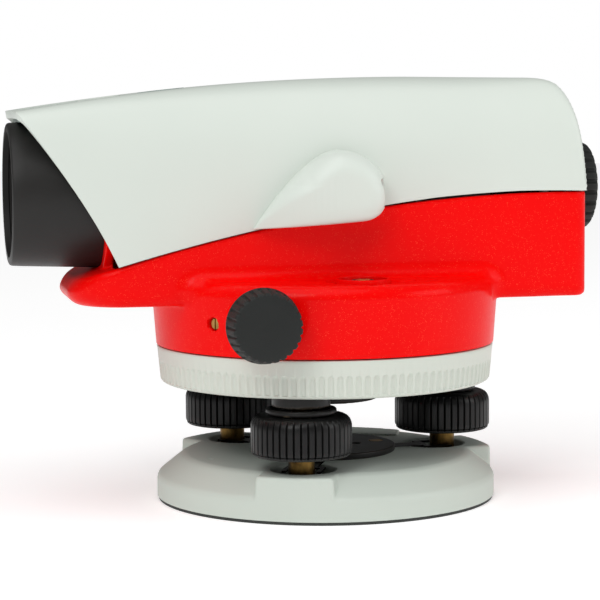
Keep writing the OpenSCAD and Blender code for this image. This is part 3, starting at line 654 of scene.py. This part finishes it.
def housing_field(x, y, z):
    """Drum, tub and nose in one casting, hollow inside."""
    rho = np.hypot(x, y)
    lean = (DRUM_R1 - DRUM_R0) / (SHOULDER_Z - DRUM_Z0)
    drum = both(rho - (DRUM_R0 + (z - DRUM_Z0) * lean), z - SHOULDER_Z, 4.5)
    tub = both(tub_field(x, y, z, 0, 4.5), NOSE_X - x, 15)
    belly_r = np.interp(x, [NOSE_X + 5, NOSE_X + 16, TAIL_X - 6, TAIL_X], [5, 2.6, 2.6, 1.8])
    tub = both(tub, BELLY_Z - z, belly_r)
    tub = both(tub, z - nose_top(x), np.interp(x, [NOSE_X, NOSE_X + 8, -60, -50], [4.5, 2, 1.2, 0.5]))
    solid = either(drum, tub, np.interp(z, [64, 69], [1.3, 4.5]))
    collar = np.hypot(x - DRIVE[0], z - DRIVE[2]) - 8
    collar = both(collar, abs(y) - 52.7, 0.8)
    solid = either(solid, np.maximum(collar, DRUM_Z0 - 5 - z), 1.2)
    from_axis = np.hypot(y, z - AXIS_Z)
    bulkhead = both(from_axis - (TUBE_ROOT_R + 4), abs(x - BULKHEAD_X - 1.5) - 1.5, 0.5)
    bulkhead = np.maximum(bulkhead, side_walls(x, y, z) + WALL + 0.8)
    solid = either(solid, bulkhead, 1.5)

    inside = np.maximum(tub_field(x, y, z, WALL, 6), BELLY_Z + WALL - z)
    inside = np.maximum(inside, BULKHEAD_X + 3 - x)
    inside = np.maximum(inside, -np.maximum(rho - DRUM_R1, z - SHOULDER_Z))
    solid = less(solid, inside)
    solid = less(solid, np.maximum(rho - AXIS_BORE_R, z - ROOF_Z))
    solid = less(solid, np.maximum(from_axis - (TUBE_ROOT_R + 0.1), x - BULKHEAD_X - 0.5), 0.3)
    solid = less(solid, np.maximum(from_axis - (TUBE_R - 4), abs(x - BULKHEAD_X) - 6))
    solid = less(solid, np.maximum(from_axis - EYEPIECE_HOLE_R, 60 - x), 0.3)
    # shallow round recess on the shoulder, and the level's own room in it
    recess = np.hypot(x - LEVEL_X, y - LEVEL_Y) - 10.9
    solid = less(solid, both(recess, SHOULDER_Z - 0.5 - z, 0.2), 0.35)
    room = np.hypot(x - LEVEL_X, y - LEVEL_Y) - (LEVEL_R + 0.15)
    solid = less(solid, np.maximum(room, ROOF_Z - 1 - z), 0.3)
    # window over the circle, drilled seat of the worm's screw, and two sunk plugs
    low, high = box_mm("circle_window")
    above = abs(z - (low[2] + high[2]) / 2) - (high[2] - low[2]) / 2
    window = np.maximum(abs(y) - (high[1] + 0.2), above - 0.2)
    solid = less(solid, np.maximum(window, low[0] - 3 - x), 0.25)
    px, py = centre_mm("worm_adjusting_screw")[:2]
    bearing = math.atan2(py, px)
    across = y * math.cos(bearing) - x * math.sin(bearing)
    drilled = np.hypot(across, z - centre_mm("worm_adjusting_screw")[2]) - 2.0
    solid = less(solid, np.maximum(drilled, -(x * math.cos(bearing) + y * math.sin(bearing)) + 45), 0.3)
    for plug_x, plug_y in PLUGS:
        solid = less(solid, np.maximum(np.hypot(x - plug_x, y - plug_y) - 1.3, SHOULDER_Z - 1.2 - z), 0.25)
    return solid


def build_housing():
    low, high = box_mm("lower_housing")
    piece = carved(
        "housing_casting", housing_field, low - (1.2, 1.2, 1.6), high + (1.2, 1.2, 1.6), 0.8, floor=DRUM_Z0
    )
    return finish_as(piece, "housing_red", "alidade", "lower_housing")


# ---- the cover ----
def cover_grid():
    """Points of the cover's outer skin: one row for each station from the front edge to the tail."""
    stations, across = 120, 97
    side = np.concatenate([CROWN, TAIL])

    def by_length(curve, t):
        steps = np.hypot(*np.diff(curve, axis=0).T)
        at = np.concatenate([[0], np.cumsum(steps)])
        return np.stack([np.interp(t * at[-1], at, curve[:, k]) for k in (0, 1)], axis=-1)

    u = np.linspace(0, 1, stations)
    foot, top = by_length(EDGE, u), by_length(side, u)
    foot[:, 1] += np.interp(foot[:, 0], [10, 30, 56, 74], [0, 0.4, 0.4, 0])
    chord = FRONT - (FRONT[:1] + (FRONT[-1:] - FRONT[:1]) * np.linspace(0, 1, len(FRONT))[:, None])
    rows = []
    phi = np.linspace(0, np.pi, 181)
    for k in range(stations):
        fade = (1 - u[k]) ** 4
        reach = np.zeros_like(phi)
        far = np.full_like(phi, 1.6)

        def spot(rho):
            tau = rho * np.sin(phi)
            bulge = [np.interp(tau, np.linspace(0, 1, len(chord)), chord[:, c]) * fade for c in (0, 1)]
            x = foot[k, 0] + (top[k, 0] - foot[k, 0]) * tau + bulge[0]
            z = foot[k, 1] + (top[k, 1] - foot[k, 1]) * tau + bulge[1]
            return np.stack([x, -np.cos(phi) * rho * 30, z], axis=1)

        for _ in range(40):
            middle = (reach + far) / 2
            out = cover_field(*spot(middle).T) > 0
            far = np.where(out, middle, far)
            reach = np.where(out, reach, middle)
        line = spot(reach)
        steps = np.linalg.norm(np.diff(line, axis=0), axis=1)
        at = np.concatenate([[0], np.cumsum(steps)])
        t = np.linspace(0, at[-1], across)
        rows.append(np.stack([np.interp(t, at, line[:, c]) for c in range(3)], axis=1))
    return np.array(rows)


def build_cover():
    grid = cover_grid()
    rows, columns = grid.shape[:2]
    faces = [
        (i * columns + j, (i + 1) * columns + j, (i + 1) * columns + j + 1, i * columns + j + 1)
        for i in range(rows - 1)
        for j in range(columns - 1)
    ]
    piece = make_object("cover_shell", grid.reshape(-1, 3), faces)
    bm = bmesh.new()
    bm.from_mesh(piece.data)
    bmesh.ops.remove_doubles(bm, verts=bm.verts, dist=2e-5)
    bmesh.ops.recalc_face_normals(bm, faces=bm.faces)
    crown = max(bm.faces, key=lambda f: f.calc_center_median().z)
    if crown.normal.z < 0:
        bmesh.ops.reverse_faces(bm, faces=bm.faces)
    bm.to_mesh(piece.data)
    bm.free()
    shell = piece.modifiers.new("wall", "SOLIDIFY")
    shell.thickness = WALL * MM
    shell.offset = -1
    shell.use_even_offset = True
    shell.use_quality_normals = True
    apply_modifiers(piece)
    face_outwards(piece)
    r = EYEPIECE_HOLE_R
    hole = turned("eyepiece_hole", [(0, 60), (r, 60), (r, 95), (0, 95)], 96, centre=(0, 0, AXIS_Z), axis="X")
    (x0, x1), half = TROUGH_X, TROUGH_W / 2
    slot = prism("trough_slot", [(x0, -half), (x1, -half), (x1, half), (x0, half)], 2, 118, 140)
    cut_away(piece, hole, slot)
    round_edges(piece, 0.35, degrees=50)
    shade_by_angle(piece, 40)
    return finish_as(piece, "cover_grey", "alidade", "top_cover")


# ---- sighting trough in the crown ----
TROUGH_X = (-95.5, -63.5)
TROUGH_W = 21
TROUGH_DEPTH = 2.3
POINTER_X = -76.5


def prism(name, corners, r, z0, z1):
    """An upright prism with its corners rounded."""
    outline = rounded(corners, [r] * len(corners), steps=5)
    n = len(outline)
    verts = [(x, y, z) for z in (z0, z1) for x, y in outline]
    faces = [list(range(n))[::-1], list(range(n, 2 * n))]
    faces += [[i, (i + 1) % n, n + (i + 1) % n, n + i] for i in range(n)]
    return face_outwards(make_object(name, verts, faces, smooth=False))


def crown_z(x):
    return np.interp(x, CROWN[:, 0], CROWN[:, 1])


def pan_field(x, y, z):
    (x0, x1), half = TROUGH_X, TROUGH_W / 2
    top = z - crown_z(x) + 0.3
    outer = both(abs(x - (x0 + x1) / 2) - (x1 - x0) / 2 - 0.9, abs(y) - half - 0.9, 2.5)
    outer = both(both(outer, top, 0.2), -top - 3.3, 0.2)
    inner = both(abs(x - (x0 + x1) / 2) - (x1 - x0) / 2 + 0.1, abs(y) - half + 0.1, 2)
    return less(outer, both(inner, -top - TROUGH_DEPTH, 0.4), 0.1)


def insert_field(x, y, z):
    (x0, x1), half = TROUGH_X, TROUGH_W / 2
    top = z - crown_z(x) + 0.7
    sides = both(abs(x - x1 + 4.9) - 4.7, abs(y) - half + 0.3, 1.5)
    return both(both(sides, top, 0.4), -top - 2.2, 0.2)


def pointer_field(x, y, z):
    top = z - crown_z(x) - 0.2 - 0.55 * (x - POINTER_X)
    sides = np.maximum(x - POINTER_X, abs(y) - 0.35 * (x - POINTER_X + 6.5))
    return both(both(sides, top, 0.15), crown_z(x) - 2.9 - z, 0.1)


# A thin sheet lying in the crown's skin, its top a little proud of it; its darker grey is painted shade, for the
# shaded far wall of a shallow recess.
def shade_sheet_field(x, y, z):
    low, high = -57.5, -45.5
    lean = x - 0.5 * y
    sides = both(abs(lean - (low + high) / 2) - (high - low) / 2, abs(y) - 4.5, 1)
    return both(sides, abs(z - crown_z(x) + 0.4) - 0.55, 0.15)


def build_trough():
    (x0, x1), half = TROUGH_X, TROUGH_W / 2
    low, high = np.array((x0 - 2, -half - 2, 117.5)), np.array((x1 + 2, half + 2, 130))
    # the trough's walls take this darker grey-green as painted shade
    grey = MATERIALS["trough_grey"]
    finish_as(carved("sight_trough", pan_field, low, high, 0.4), "cover_grey", "alidade", material=grey)
    finish_as(carved("sight_floor", insert_field, low, high, 0.4), "white_plastic", "alidade")
    pointer = carved("sight_wedge", pointer_field, (-84, -3.5, 119), (-74, 3.5, 129), 0.25)
    finish_as(pointer, "white_plastic", "alidade", "sight_pointer")
    # painted shade: a darker sheet on the crown for the far wall of a shallow recess
    shade_sheet_piece = carved("crown_inlay", shade_sheet_field, (-62, -6, 126), (-41, 6, 132), 0.35)
    finish_as(shade_sheet_piece, "cover_grey", "alidade", material=grey)


# ---- viewing housing over the circular level ----
def viewer_field(x, y, z):
    side = np.concatenate(
        [
            [(-28, 86.7), (4, 89)],
            bezier([(4, 89), (9.6, 89.4), (12.4, 92.8), (12.5, 98)], 16),
            bezier([(12.5, 98), (12.5, 105), (5, 110.4), (-2, 110.4)], 16),
            bezier([(-2, 110.4), (-9, 110.4), (-20, 99), (-28, 86.7)], 16),
        ]
    )
    depth_line = bezier([(-29, 28), (-20, 34), (-12, 38.4), (0, 38.4)], 16)
    depth = np.interp(x, depth_line[:, 0], depth_line[:, 1])
    outline = outline_field(side, x, z)
    r = np.interp(z, [87.5, 92, 100], [0.8, 4, 7]) * np.interp(x, [-28, -12], [0.35, 1])
    solid = both(outline, (-y - depth) / 1.05, r)
    inner = both(both(outline + 2.6, (-y - depth) / 1.05 + 2.6, 3), y + 28, 1)
    solid = less(solid, inner)
    window = both(abs(y + 33) - 3.2, abs(z - 97.5) - 4.2, 1.5)
    solid = less(solid, np.maximum(window, 8 - x), 0.3)
    below = both(abs(x - LEVEL_X) - 6, abs(y + 33.5) - 2.6, 1.5)
    solid = less(solid, np.maximum(below, z - 91), 0.3)
    return np.maximum(solid, -(cover_field(x, y, z) + 1.2))


def build_viewer():
    low, high = box_mm("prism_housing")
    piece = carved("viewing_prism_housing", viewer_field, low - 0.9, high + (0.9, 3, 0.9), 0.5)
    return finish_as(piece, "cover_grey", "alidade", "prism_housing")


# ---- base ----
FLAT_R = 45.2
WALL_TOP = 7.5
POCKET_R, POCKET_SHIFT = 9.8, 3.1


def base_field(x, y, z):
    """The three-footed base: a skirt wall, a steep shoulder, and flat foot pads that reach the edge."""
    rho = np.hypot(x, y)
    rise, run = BASE_H - WALL_TOP, BASE_R - FLAT_R
    shoulder = ((rho - BASE_R) * rise + (z - WALL_TOP) * run) / math.hypot(rise, run)
    solid = shoulder
    for angle in FOOT_ANGLES:
        along = x * math.cos(angle) + y * math.sin(angle)
        across = y * math.cos(angle) - x * math.sin(angle)
        solid = either(solid, np.maximum(abs(across) - PAD_W / 2 + 0.08 * (z - BASE_H), -along), 0.5)
    solid = both(solid, both(rho - BASE_R, z - BASE_H, 0.9), 1.0)
    # low raised step on the rear lobe, its front edge slanting
    front = 0.385 * x + 0.923 * y - 30.4
    step = both(both(-front, rho - 44.5, 0.6), both(x - 0.35 * y - 21.5, 4 - x, 0.6), 0.6)
    step = both(step, z - BASE_H - 0.6, 0.25)
    solid = either(solid, np.maximum(step, BASE_H - 3 - z), 0.2)
    for number, (fx, fy) in enumerate(FEET):
        angle = FOOT_ANGLES[number]
        cx, cy = fx - POCKET_SHIFT * math.cos(angle), fy - POCKET_SHIFT * math.sin(angle)
        pocket = np.maximum(np.hypot(x - cx, y - cy) - POCKET_R, 3 - z)
        if number == 0:
            seat = np.maximum(np.hypot(x - fx, y - fy) - 5.6, z - 7.9)
            pocket = less(pocket, seat)
        solid = less(solid, pocket, 0.45)
        along = x * math.cos(angle) + y * math.sin(angle)
        across = y * math.cos(angle) - x * math.sin(angle)
        slot = np.maximum(np.maximum(abs(across) - 3.7, abs(along - 26) - 8), BASE_H - 0.65 - z)
        solid = less(solid, slot)
    fx, fy = FEET[0]
    solid = less(solid, np.sqrt((x - fx) ** 2 + (y - fy) ** 2 + (z - 9.6) ** 2) - 4.4)
    solid = less(solid, np.maximum(rho - 21.1, BASE_H - 0.65 - z))
    solid = less(solid, np.maximum(rho - 13, z - 11))
    solid = less(solid, np.maximum(np.maximum(rho - 47, 20 - rho), z - 1.6))
    solid = less(solid, np.maximum(np.hypot(x + 38.6, y + 8.6) - 0.8, BASE_H - 1.5 - z), 0.15)
    return solid


def build_base():
    low, high = box_mm("base_plate")
    piece = carved("base_casting", base_field, low - 1.5, high + 1.5, 0.6, floor=SKIRT_H)
    return finish_as(piece, "base_grey", "base", "base_plate")


DISC_SCREW_R = 17.2


def disc_field(x, y, z):
    low, high = box_mm("retaining_disc")
    rho = np.hypot(x, y)
    solid = both(rho - high[0], abs(z - (low[2] + high[2]) / 2) - (high[2] - low[2]) / 2, 0.5)
    for angle in FOOT_ANGLES:
        away = np.hypot(x - DISC_SCREW_R * math.cos(angle), y - DISC_SCREW_R * math.sin(angle))
        solid = less(solid, away - 1.4)
        solid = less(solid, np.maximum(away - 2.35, high[2] - 1.1 - z), 0.2)
    return less(solid, np.hypot(x - 9.5, y + 2.1) - 1.5, 0.3)


def build_disc():
    low, high = box_mm("retaining_disc")
    piece = carved("retaining_plate", disc_field, low - 0.6, high + 0.6, 0.4)
    return finish_as(piece, "black_metal", "base", "retaining_disc")


# ---- footscrews ----
KNOB_RIBS = 44
FOOT_COLLAR_H = 1.1
HUB_BOSS_R = 8.85
DUST_RING_BORE_R = 9.1  # clear of the hub's boss, which it slides over


def knob_radius(a, r, h):
    """Ribs of a footscrew knob: rounded ribs between narrow grooves, fading out at the rounded edges."""
    low, high = box_mm("footscrew_knob_1")
    bottom, top = low[2] + FOOT_COLLAR_H, high[2]
    wave = np.abs(np.cos(a * KNOB_RIBS / 2))
    groove = np.clip(1 - wave / 0.42, 0, 1) ** 0.7
    fade = np.clip((h - bottom - 0.7) / 0.5, 0, 1) * np.clip((top - 0.4 - h) / 1.2, 0, 1)
    ribbed = (r > 12.4) & (h > bottom)
    return r - np.where(ribbed, groove * fade * 0.85, 0)


def build_footscrews():
    low, high = box_mm("footscrew_knob_1")
    r, bottom, top = (high[0] - low[0]) / 2, low[2] + FOOT_COLLAR_H, high[2]
    for i, (fx, fy) in enumerate(FEET, 1):
        wall = [(r, z) for z in np.linspace(bottom + 1.9, top - 3.0, 7)]
        profile = [
            (3.0, low[2]), (3.7, low[2]), (4.0, low[2] + 0.3), (4.0, bottom - 0.2), (4.3, bottom),
            (r - 1.5, bottom), (r - 0.9, bottom + 0.15), (r - 0.45, bottom + 0.5), (r - 0.4, bottom + 0.95),
            (r - 0.55, bottom + 1.15), (r - 0.1, bottom + 1.4), *wall,
            (r - 0.2, top - 2.1), (r - 0.6, top - 1.2), (r - 1.2, top - 0.55), (r - 2.0, top - 0.12),
            (r - 2.8, top), (9.6, top), (9.2, top - 0.3), (9.2, top - 3.8), (3.0, top - 3.8),
        ]
        knob = turned(f"footscrew_grip_{i}", profile, KNOB_RIBS * 12, knob_radius, (fx, fy, 0))
        finish_as(knob, "knob_black", f"screw_{i}", f"footscrew_knob_{i}")
        slow, shigh = box_mm(f"footscrew_sleeve_{i}")
        outer, inner = (shigh[0] - slow[0]) / 2, DUST_RING_BORE_R
        corners = [(inner, slow[2]), (outer, slow[2]), (outer, shigh[2]), (inner, shigh[2])]
        sleeve_profile = rounded(corners, [0.3, 0.8, 0.8, 0.5], steps=6)
        sleeve = turned(f"footscrew_dust_ring_{i}", sleeve_profile, 96, centre=(fx, fy, 0))
        finish_as(sleeve, "black_metal", f"sleeve_{i}", f"footscrew_sleeve_{i}")


# ---- hub ----
def hub_field(x, y, z):
    rho = np.hypot(x, y)
    plate = both(rho - 46.5, abs(z - 39.7) - 1.8, 0.6)
    core = both(rho - 17, 31 - z, 0.8)
    core = np.maximum(core, z - 56.6)
    solid = either(plate, core, 1.2)
    for fx, fy in FEET:
        boss = both(np.hypot(x - fx, y - fy) - HUB_BOSS_R, 33.9 - z, 0.5)
        solid = either(solid, np.maximum(boss, z - 41.4), 1.0)
    solid = either(solid, np.maximum(rho - 35.7, abs(z - 41) - 2.7), 0.3)
    solid = np.minimum(solid, np.maximum(rho - 22, abs(z - 55.3) - 1.3))
    solid = np.minimum(solid, np.maximum(rho - 14, abs(z - 52) - 12.2))
    solid = less(solid, rho - 11)
    solid = less(solid, np.maximum(rho - 13.2, z - 35.9))
    for fx, fy in FEET:
        solid = less(solid, np.hypot(x - fx, y - fy) - 5.5)
    return solid


def build_hub():
    low, high = box_mm("hub_body")
    piece = carved("hub_casting", hub_field, low - 1.2, high + 1.2, 0.8)
    return finish_as(piece, "black_metal", "hub", "hub_body")


# ---- setting ring ----
RING_FLUTES = 120
RING_BAND = 4.6


def ring_radius(a, r, h):
    """Flutes round the lower part of the ring, each with an arched top."""
    low, high = RING_LOW[2], RING_HIGH[2]
    top, bottom = high - RING_BAND, low + 0.9
    wave = np.abs(np.sin(a * RING_FLUTES / 2))
    side = np.clip((wave - 0.45) / 0.55, 0, 1)
    arch = np.clip((top - h) / 0.9 - (1 - side) * 0.8, 0, 1) * np.clip((h - bottom) / 0.4, 0, 1)
    return r - np.where(r > 51, 0.62 * np.sin(side * np.pi / 2) * np.sqrt(arch), 0)


def build_ring():
    z0, z1 = RING_LOW[2], RING_HIGH[2]
    r0, r1 = 52.1, RING_HIGH[0]
    top = z1 - RING_BAND
    flute_z = [top - d for d in (0, 0.1, 0.25, 0.45, 0.7, 1.0, 1.4, 2.5, 3.6)] + [z0 + 1.25, z0 + 1.0]
    outer = [(r0 + (r1 - r0) * (z - z0) / (z1 - z0), z) for z in reversed(flute_z)]
    profile = [
        (49.3, z0), (r0 - 1.8, z0), (r0 - 0.9, z0 + 0.12), (r0 - 0.35, z0 + 0.4), (r0 - 0.05, z0 + 0.85),
        *outer, (r1 - 0.12, z1 - 1.2), (r1, z1 - 0.5), (r1 - 0.15, z1 - 0.15), (r1 - 0.5, z1), (49.3, z1),
        (49.3, 43.5), (35.8, 43.5), (35.8, 42), (49.3, 42),
    ]
    piece = turned("setting_ring_fluted", profile, RING_FLUTES * 12, ring_radius)
    return finish_as(piece, "ring_grey", "circle", "setting_ring")


# ---- knobs of the drives ----
def build_drive_knobs():
    count, r = 26, 10.2
    y0, y1 = 53.2, 62.0

    def scallops(a, radius, h):
        h = abs(h)
        wave = np.cos(a * count)
        cut = np.clip(-wave - 0.25, 0, 1) / 0.75
        fade = np.clip((y1 + 0.2 - h) / 0.5, 0, 1) * np.clip((h - y0 - 0.9) / 0.4, 0, 1)
        return radius - np.where(radius > 9.3, cut**0.8 * fade * 0.55, 0)

    profile = [
        (2.5, y0), (r + 0.5, y0), (r + 0.95, y0 + 0.3), (r + 1.0, y0 + 0.9), (r + 0.85, y0 + 1.5),
        (r + 0.6, y0 + 3), (r + 0.35, y0 + 5), (r + 0.1, y1 - 1.2), (r - 0.05, y1 - 0.5),
        (r - 0.35, y1 - 0.15), (r - 0.8, y1), (r - 3, y1 - 0.02), (r - 6, y1 - 0.04), (0, y1 - 0.05),
        (0, 56), (2.5, 56),
    ]
    centre = (DRIVE[0], 0, DRIVE[2])
    for side, name in ((-1, "left"), (1, "right")):
        mirrored = [(p, h * side) for p, h in profile]
        knob = turned(f"drive_grip_{name}", mirrored, count * 14, scallops, centre, axis="Y")
        finish_as(knob, "dark_rubber", "drive", f"drive_knob_{name}")


def build_focus_knob():
    count = 36
    low, high = box_mm("focus_knob")
    r, y0, y1 = (high[0] - low[0]) / 2, low[1], high[1]

    def ribs(a, radius, h):
        wave = np.cos(a * count)
        cut = np.clip(-wave - 0.2, 0, 1) / 0.8
        fade = np.clip((y1 - 0.3 - h) / 0.6, 0, 1) * np.clip((h - y0 - 1.2) / 0.5, 0, 1)
        return radius - np.where(radius > r - 1.4, cut**0.8 * fade * 0.6, 0)

    profile = [
        (1.5, y0), (r - 1.4, y0), (r - 0.4, y0 + 0.3), (r - 0.05, y0 + 1.0), (r - 0.05, y0 + 1.8),
        (r - 0.1, y0 + 5), (r - 0.2, y0 + 9), (r - 0.35, y1 - 2.2), (r - 0.5, y1 - 1.2), (r - 1.0, y1 - 0.5),
        (r - 1.9, y1), (r - 3.2, y1), (r - 4.0, y1 - 0.6), (6, y1 - 1.4), (0, y1 - 1.6),
        (0, y0 + 3), (1.5, y0 + 3),
    ]
    knob = turned("focus_grip", profile, count * 12, ribs, (FOCUS[0], 0, FOCUS[2]), axis="Y")
    return finish_as(knob, "dark_rubber", "focus_drive", "focus_knob")


def build_eyepiece_ring():
    count = 24
    low, high = box_mm("eyepiece_ring")
    r, x0, x1 = high[1], low[0], high[0] + 0.8

    def grooves(a, radius, h):
        wave = np.abs(np.sin(a * count / 2))
        cut = np.clip((wave - 0.78) / 0.22, 0, 1) ** 0.7
        fade = np.clip((x1 + 0.3 - h) / 1.2, 0, 1) * np.clip((h - x0 - 0.5) / 0.4, 0, 1)
        return radius - np.where(radius > r - 2.2, cut * fade * 1.0, 0)

    profile = [
        (11.3, x0), (r - 0.7, x0), (r - 0.15, x0 + 0.3), (r, x0 + 0.9), (r, x0 + 1.3), (r, x0 + 3),
        (r, x0 + 5), (r, x1 - 2.4), (r - 0.1, x1 - 1.4), (r - 0.4, x1 - 0.8), (r - 0.9, x1 - 0.35),
        (r - 1.5, x1 - 0.08), (r - 2.2, x1), (8.6, x1 - 0.3), (7.0, x1 - 1.2), (6.2, x1 - 1.6),
        (6.2, 83.2), (11.3, 83.2),
    ]
    ring = turned("eyepiece_grip", profile, count * 16, grooves, (0, 0, AXIS_Z), axis="X")
    return finish_as(ring, "dark_rubber", "eyepiece", "eyepiece_ring")


# ---- telescope ----
def build_objective():
    seat = -71.5
    tube_profile = [
        (TUBE_R - 2.5, RIM_X), (TUBE_R - 0.7, RIM_X), (TUBE_R - 0.2, RIM_X + 0.3),
        (TUBE_R, RIM_X + 0.9), (TUBE_R + 0.2, RIM_X + 4), (TUBE_ROOT_R - 0.2, -77), (TUBE_ROOT_R, seat),
        (TUBE_R - 4.1, seat), (TUBE_R - 4.1, -64), (15.5, -64), (15.5, -79), (19.0, -79), (19.0, -88.2),
        (19.4, -88.2),
    ]
    hood = []
    for k in range(7):
        x = -88.9 - k * 1.25
        hood += [(19.4, x), (19.4, x - 0.55), (19.75, x - 0.8), (19.4, x - 1.1)]
    tube_profile += hood
    tube = turned("objective_barrel", tube_profile, 160, centre=(0, 0, AXIS_Z), axis="X")
    finish_as(tube, "black_plastic", "alidade", "objective_tube")

    bulge = [(19.0 * t, -86.8 + 0.2 - 2.4 * (1 - t * t)) for t in np.linspace(0, 1, 14)]
    back = [(19.0 * t, -79.2 + 1.2 * (t * t - 1)) for t in np.linspace(0.9, 0, 10)]
    lens_profile = [*bulge, (19.0, -79.2), *back]
    lens = turned("objective_glass", lens_profile, 96, centre=(0, 0, AXIS_Z), axis="X")
    finish_as(lens, "glass", "alidade", "objective_lens", material=coated_lens())


# ---- circular level ----
def build_level():
    low, high = box_mm("level_housing")
    z0, z1 = low[2], high[2]
    centre = (LEVEL_X, LEVEL_Y, 0)
    body = rounded(
        [(LEVEL_R, z0), (LEVEL_R, z1), (LEVEL_R - 0.8, z1), (LEVEL_R - 0.8, z0 + 1), (0, z0 + 1), (0, z0)],
        [0.2, 0.3, 0.3, 0.1, 0, 0],
    )
    finish_as(turned("level_case", body, 96, centre=centre), "housing_red", "alidade", "level_housing")
    top, r = z1 - 0.35, LEVEL_R - 0.82
    dome = [(r * t, top - 0.9 * t * t) for t in np.linspace(0, 1, 12)]
    vial = turned("level_glass_vial", [(0, z0 + 1.05), (r, z0 + 1.05), *dome[::-1]], 72, centre=centre)
    finish_as(vial, "level_glass", "alidade", "level_vial")
    mark = [(2.9, top - 0.12), (3.25, top - 0.16), (3.25, top - 0.05), (2.9, top - 0.01)]
    ring = turned("level_centre_mark", mark, 72, centre=centre)
    finish_as(ring, "knob_black", "alidade")
    bubble = [(2.3 * math.sin(t), top - 0.75 + 0.55 * math.cos(t)) for t in np.linspace(0, math.pi, 13)]
    bubble[0] = (0, bubble[0][1])
    bubble[-1] = (0, bubble[-1][1])
    blob = turned("level_bubble", bubble, 48, centre=(LEVEL_X + 0.2, LEVEL_Y + 0.15, 0))
    finish_as(blob, "white_plastic", "alidade")


# ---- camera, light and floor ----
CAMERA_DISTANCE = 696.3
FLOOR_HALF = 3000


def camera_and_stage():
    target = Vector((-7.9, 0, 62.3)) * MM
    azimuth, elevation, roll = math.radians(-11.8), math.radians(5.4), math.radians(-0.4)
    back = Vector((
        math.sin(azimuth) * math.cos(elevation), -math.cos(azimuth) * math.cos(elevation), math.sin(elevation)
    ))
    right = (-back).cross(Vector((0, 0, 1))).normalized()
    up = right.cross(-back)
    side = right * math.cos(roll) + up * math.sin(roll)
    rise = -right * math.sin(roll) + up * math.cos(roll)
    data = bpy.data.cameras.new("camera")
    data.lens, data.sensor_width = 132, 36
    data.clip_start, data.clip_end = 0.01, 20
    camera = bpy.data.objects.new("camera", data)
    bpy.context.scene.collection.objects.link(camera)
    turn = Matrix((side, rise, back)).transposed().to_4x4()
    camera.matrix_world = Matrix.Translation(target + back * CAMERA_DISTANCE * MM) @ turn
    bpy.context.scene.camera = camera

    corners = [(u * FLOOR_HALF, v * FLOOR_HALF, 0) for u, v in ((-1, -1), (1, -1), (1, 1), (-1, 1))]
    floor = make_object("floor", corners, [(0, 1, 2, 3)])
    m = Maker("floor_white", roughness=0.55)
    m.set("Base Color", m.mix(m.noise(3), (0.95, 0.95, 0.95, 1), (0.93, 0.93, 0.93, 1)))
    m.shader.inputs["Emission Color"].default_value = (1, 1, 1, 1)
    m.shader.inputs["Emission Strength"].default_value = 0.3
    floor.data.materials.append(m.material)

    bpy.context.scene.view_settings.view_transform = "Standard"
    world = bpy.data.worlds.new("studio")
    bpy.context.scene.world = world
    world.use_nodes = True
    nodes, links = world.node_tree.nodes, world.node_tree.links
    ambient, backdrop, room = nodes["Background"], *[nodes.new("ShaderNodeBackground") for _ in range(2)]
    for background, strength in ((ambient, 0.38), (backdrop, 1.0), (room, 0.10)):
        background.inputs["Color"].default_value = (1, 1, 1, 1)
        background.inputs["Strength"].default_value = strength
    seen, mix, dim = nodes.new("ShaderNodeLightPath"), *[nodes.new("ShaderNodeMixShader") for _ in range(2)]
    links.new(seen.outputs["Is Camera Ray"], mix.inputs[0])
    links.new(backdrop.outputs[0], mix.inputs[2])
    # reflections see a darker room than the shadows do, so gloss comes from the lamps
    links.new(seen.outputs["Is Glossy Ray"], dim.inputs[0])
    links.new(ambient.outputs[0], dim.inputs[1])
    links.new(room.outputs[0], dim.inputs[2])
    links.new(dim.outputs[0], mix.inputs[1])
    links.new(mix.outputs[0], nodes["World Output"].inputs["Surface"])

    sun = bpy.data.lights.new("overhead", "SUN")
    sun.energy, sun.angle = 1.35, math.radians(60)
    lamps = [(sun, (-0.25, -0.35, 1.0))]
    for name, place, size, power in (("key", (-0.7, -1.0, 0.9), 0.5, 4), ("fill", (1.0, -0.5, 0.5), 0.6, 3)):
        light = bpy.data.lights.new(name, "AREA")
        light.energy, light.size = power, size
        lamps.append((light, place))
    for light, place in lamps:
        lamp = bpy.data.objects.new(light.name, light)
        bpy.context.scene.collection.objects.link(lamp)
        lamp.location = place
        lamp.rotation_mode = "QUATERNION"
        lamp.rotation_quaternion = (Vector((0, 0, 0.07)) - lamp.location).to_track_quat("-Z", "Y")


camera_and_stage()
dress_cad_nodes()
build_base()
build_disc()
build_hub()
build_footscrews()
build_ring()
build_housing()
build_cover()
build_trough()
build_viewer()
build_drive_knobs()
build_focus_knob()
build_eyepiece_ring()
build_objective()
build_level()
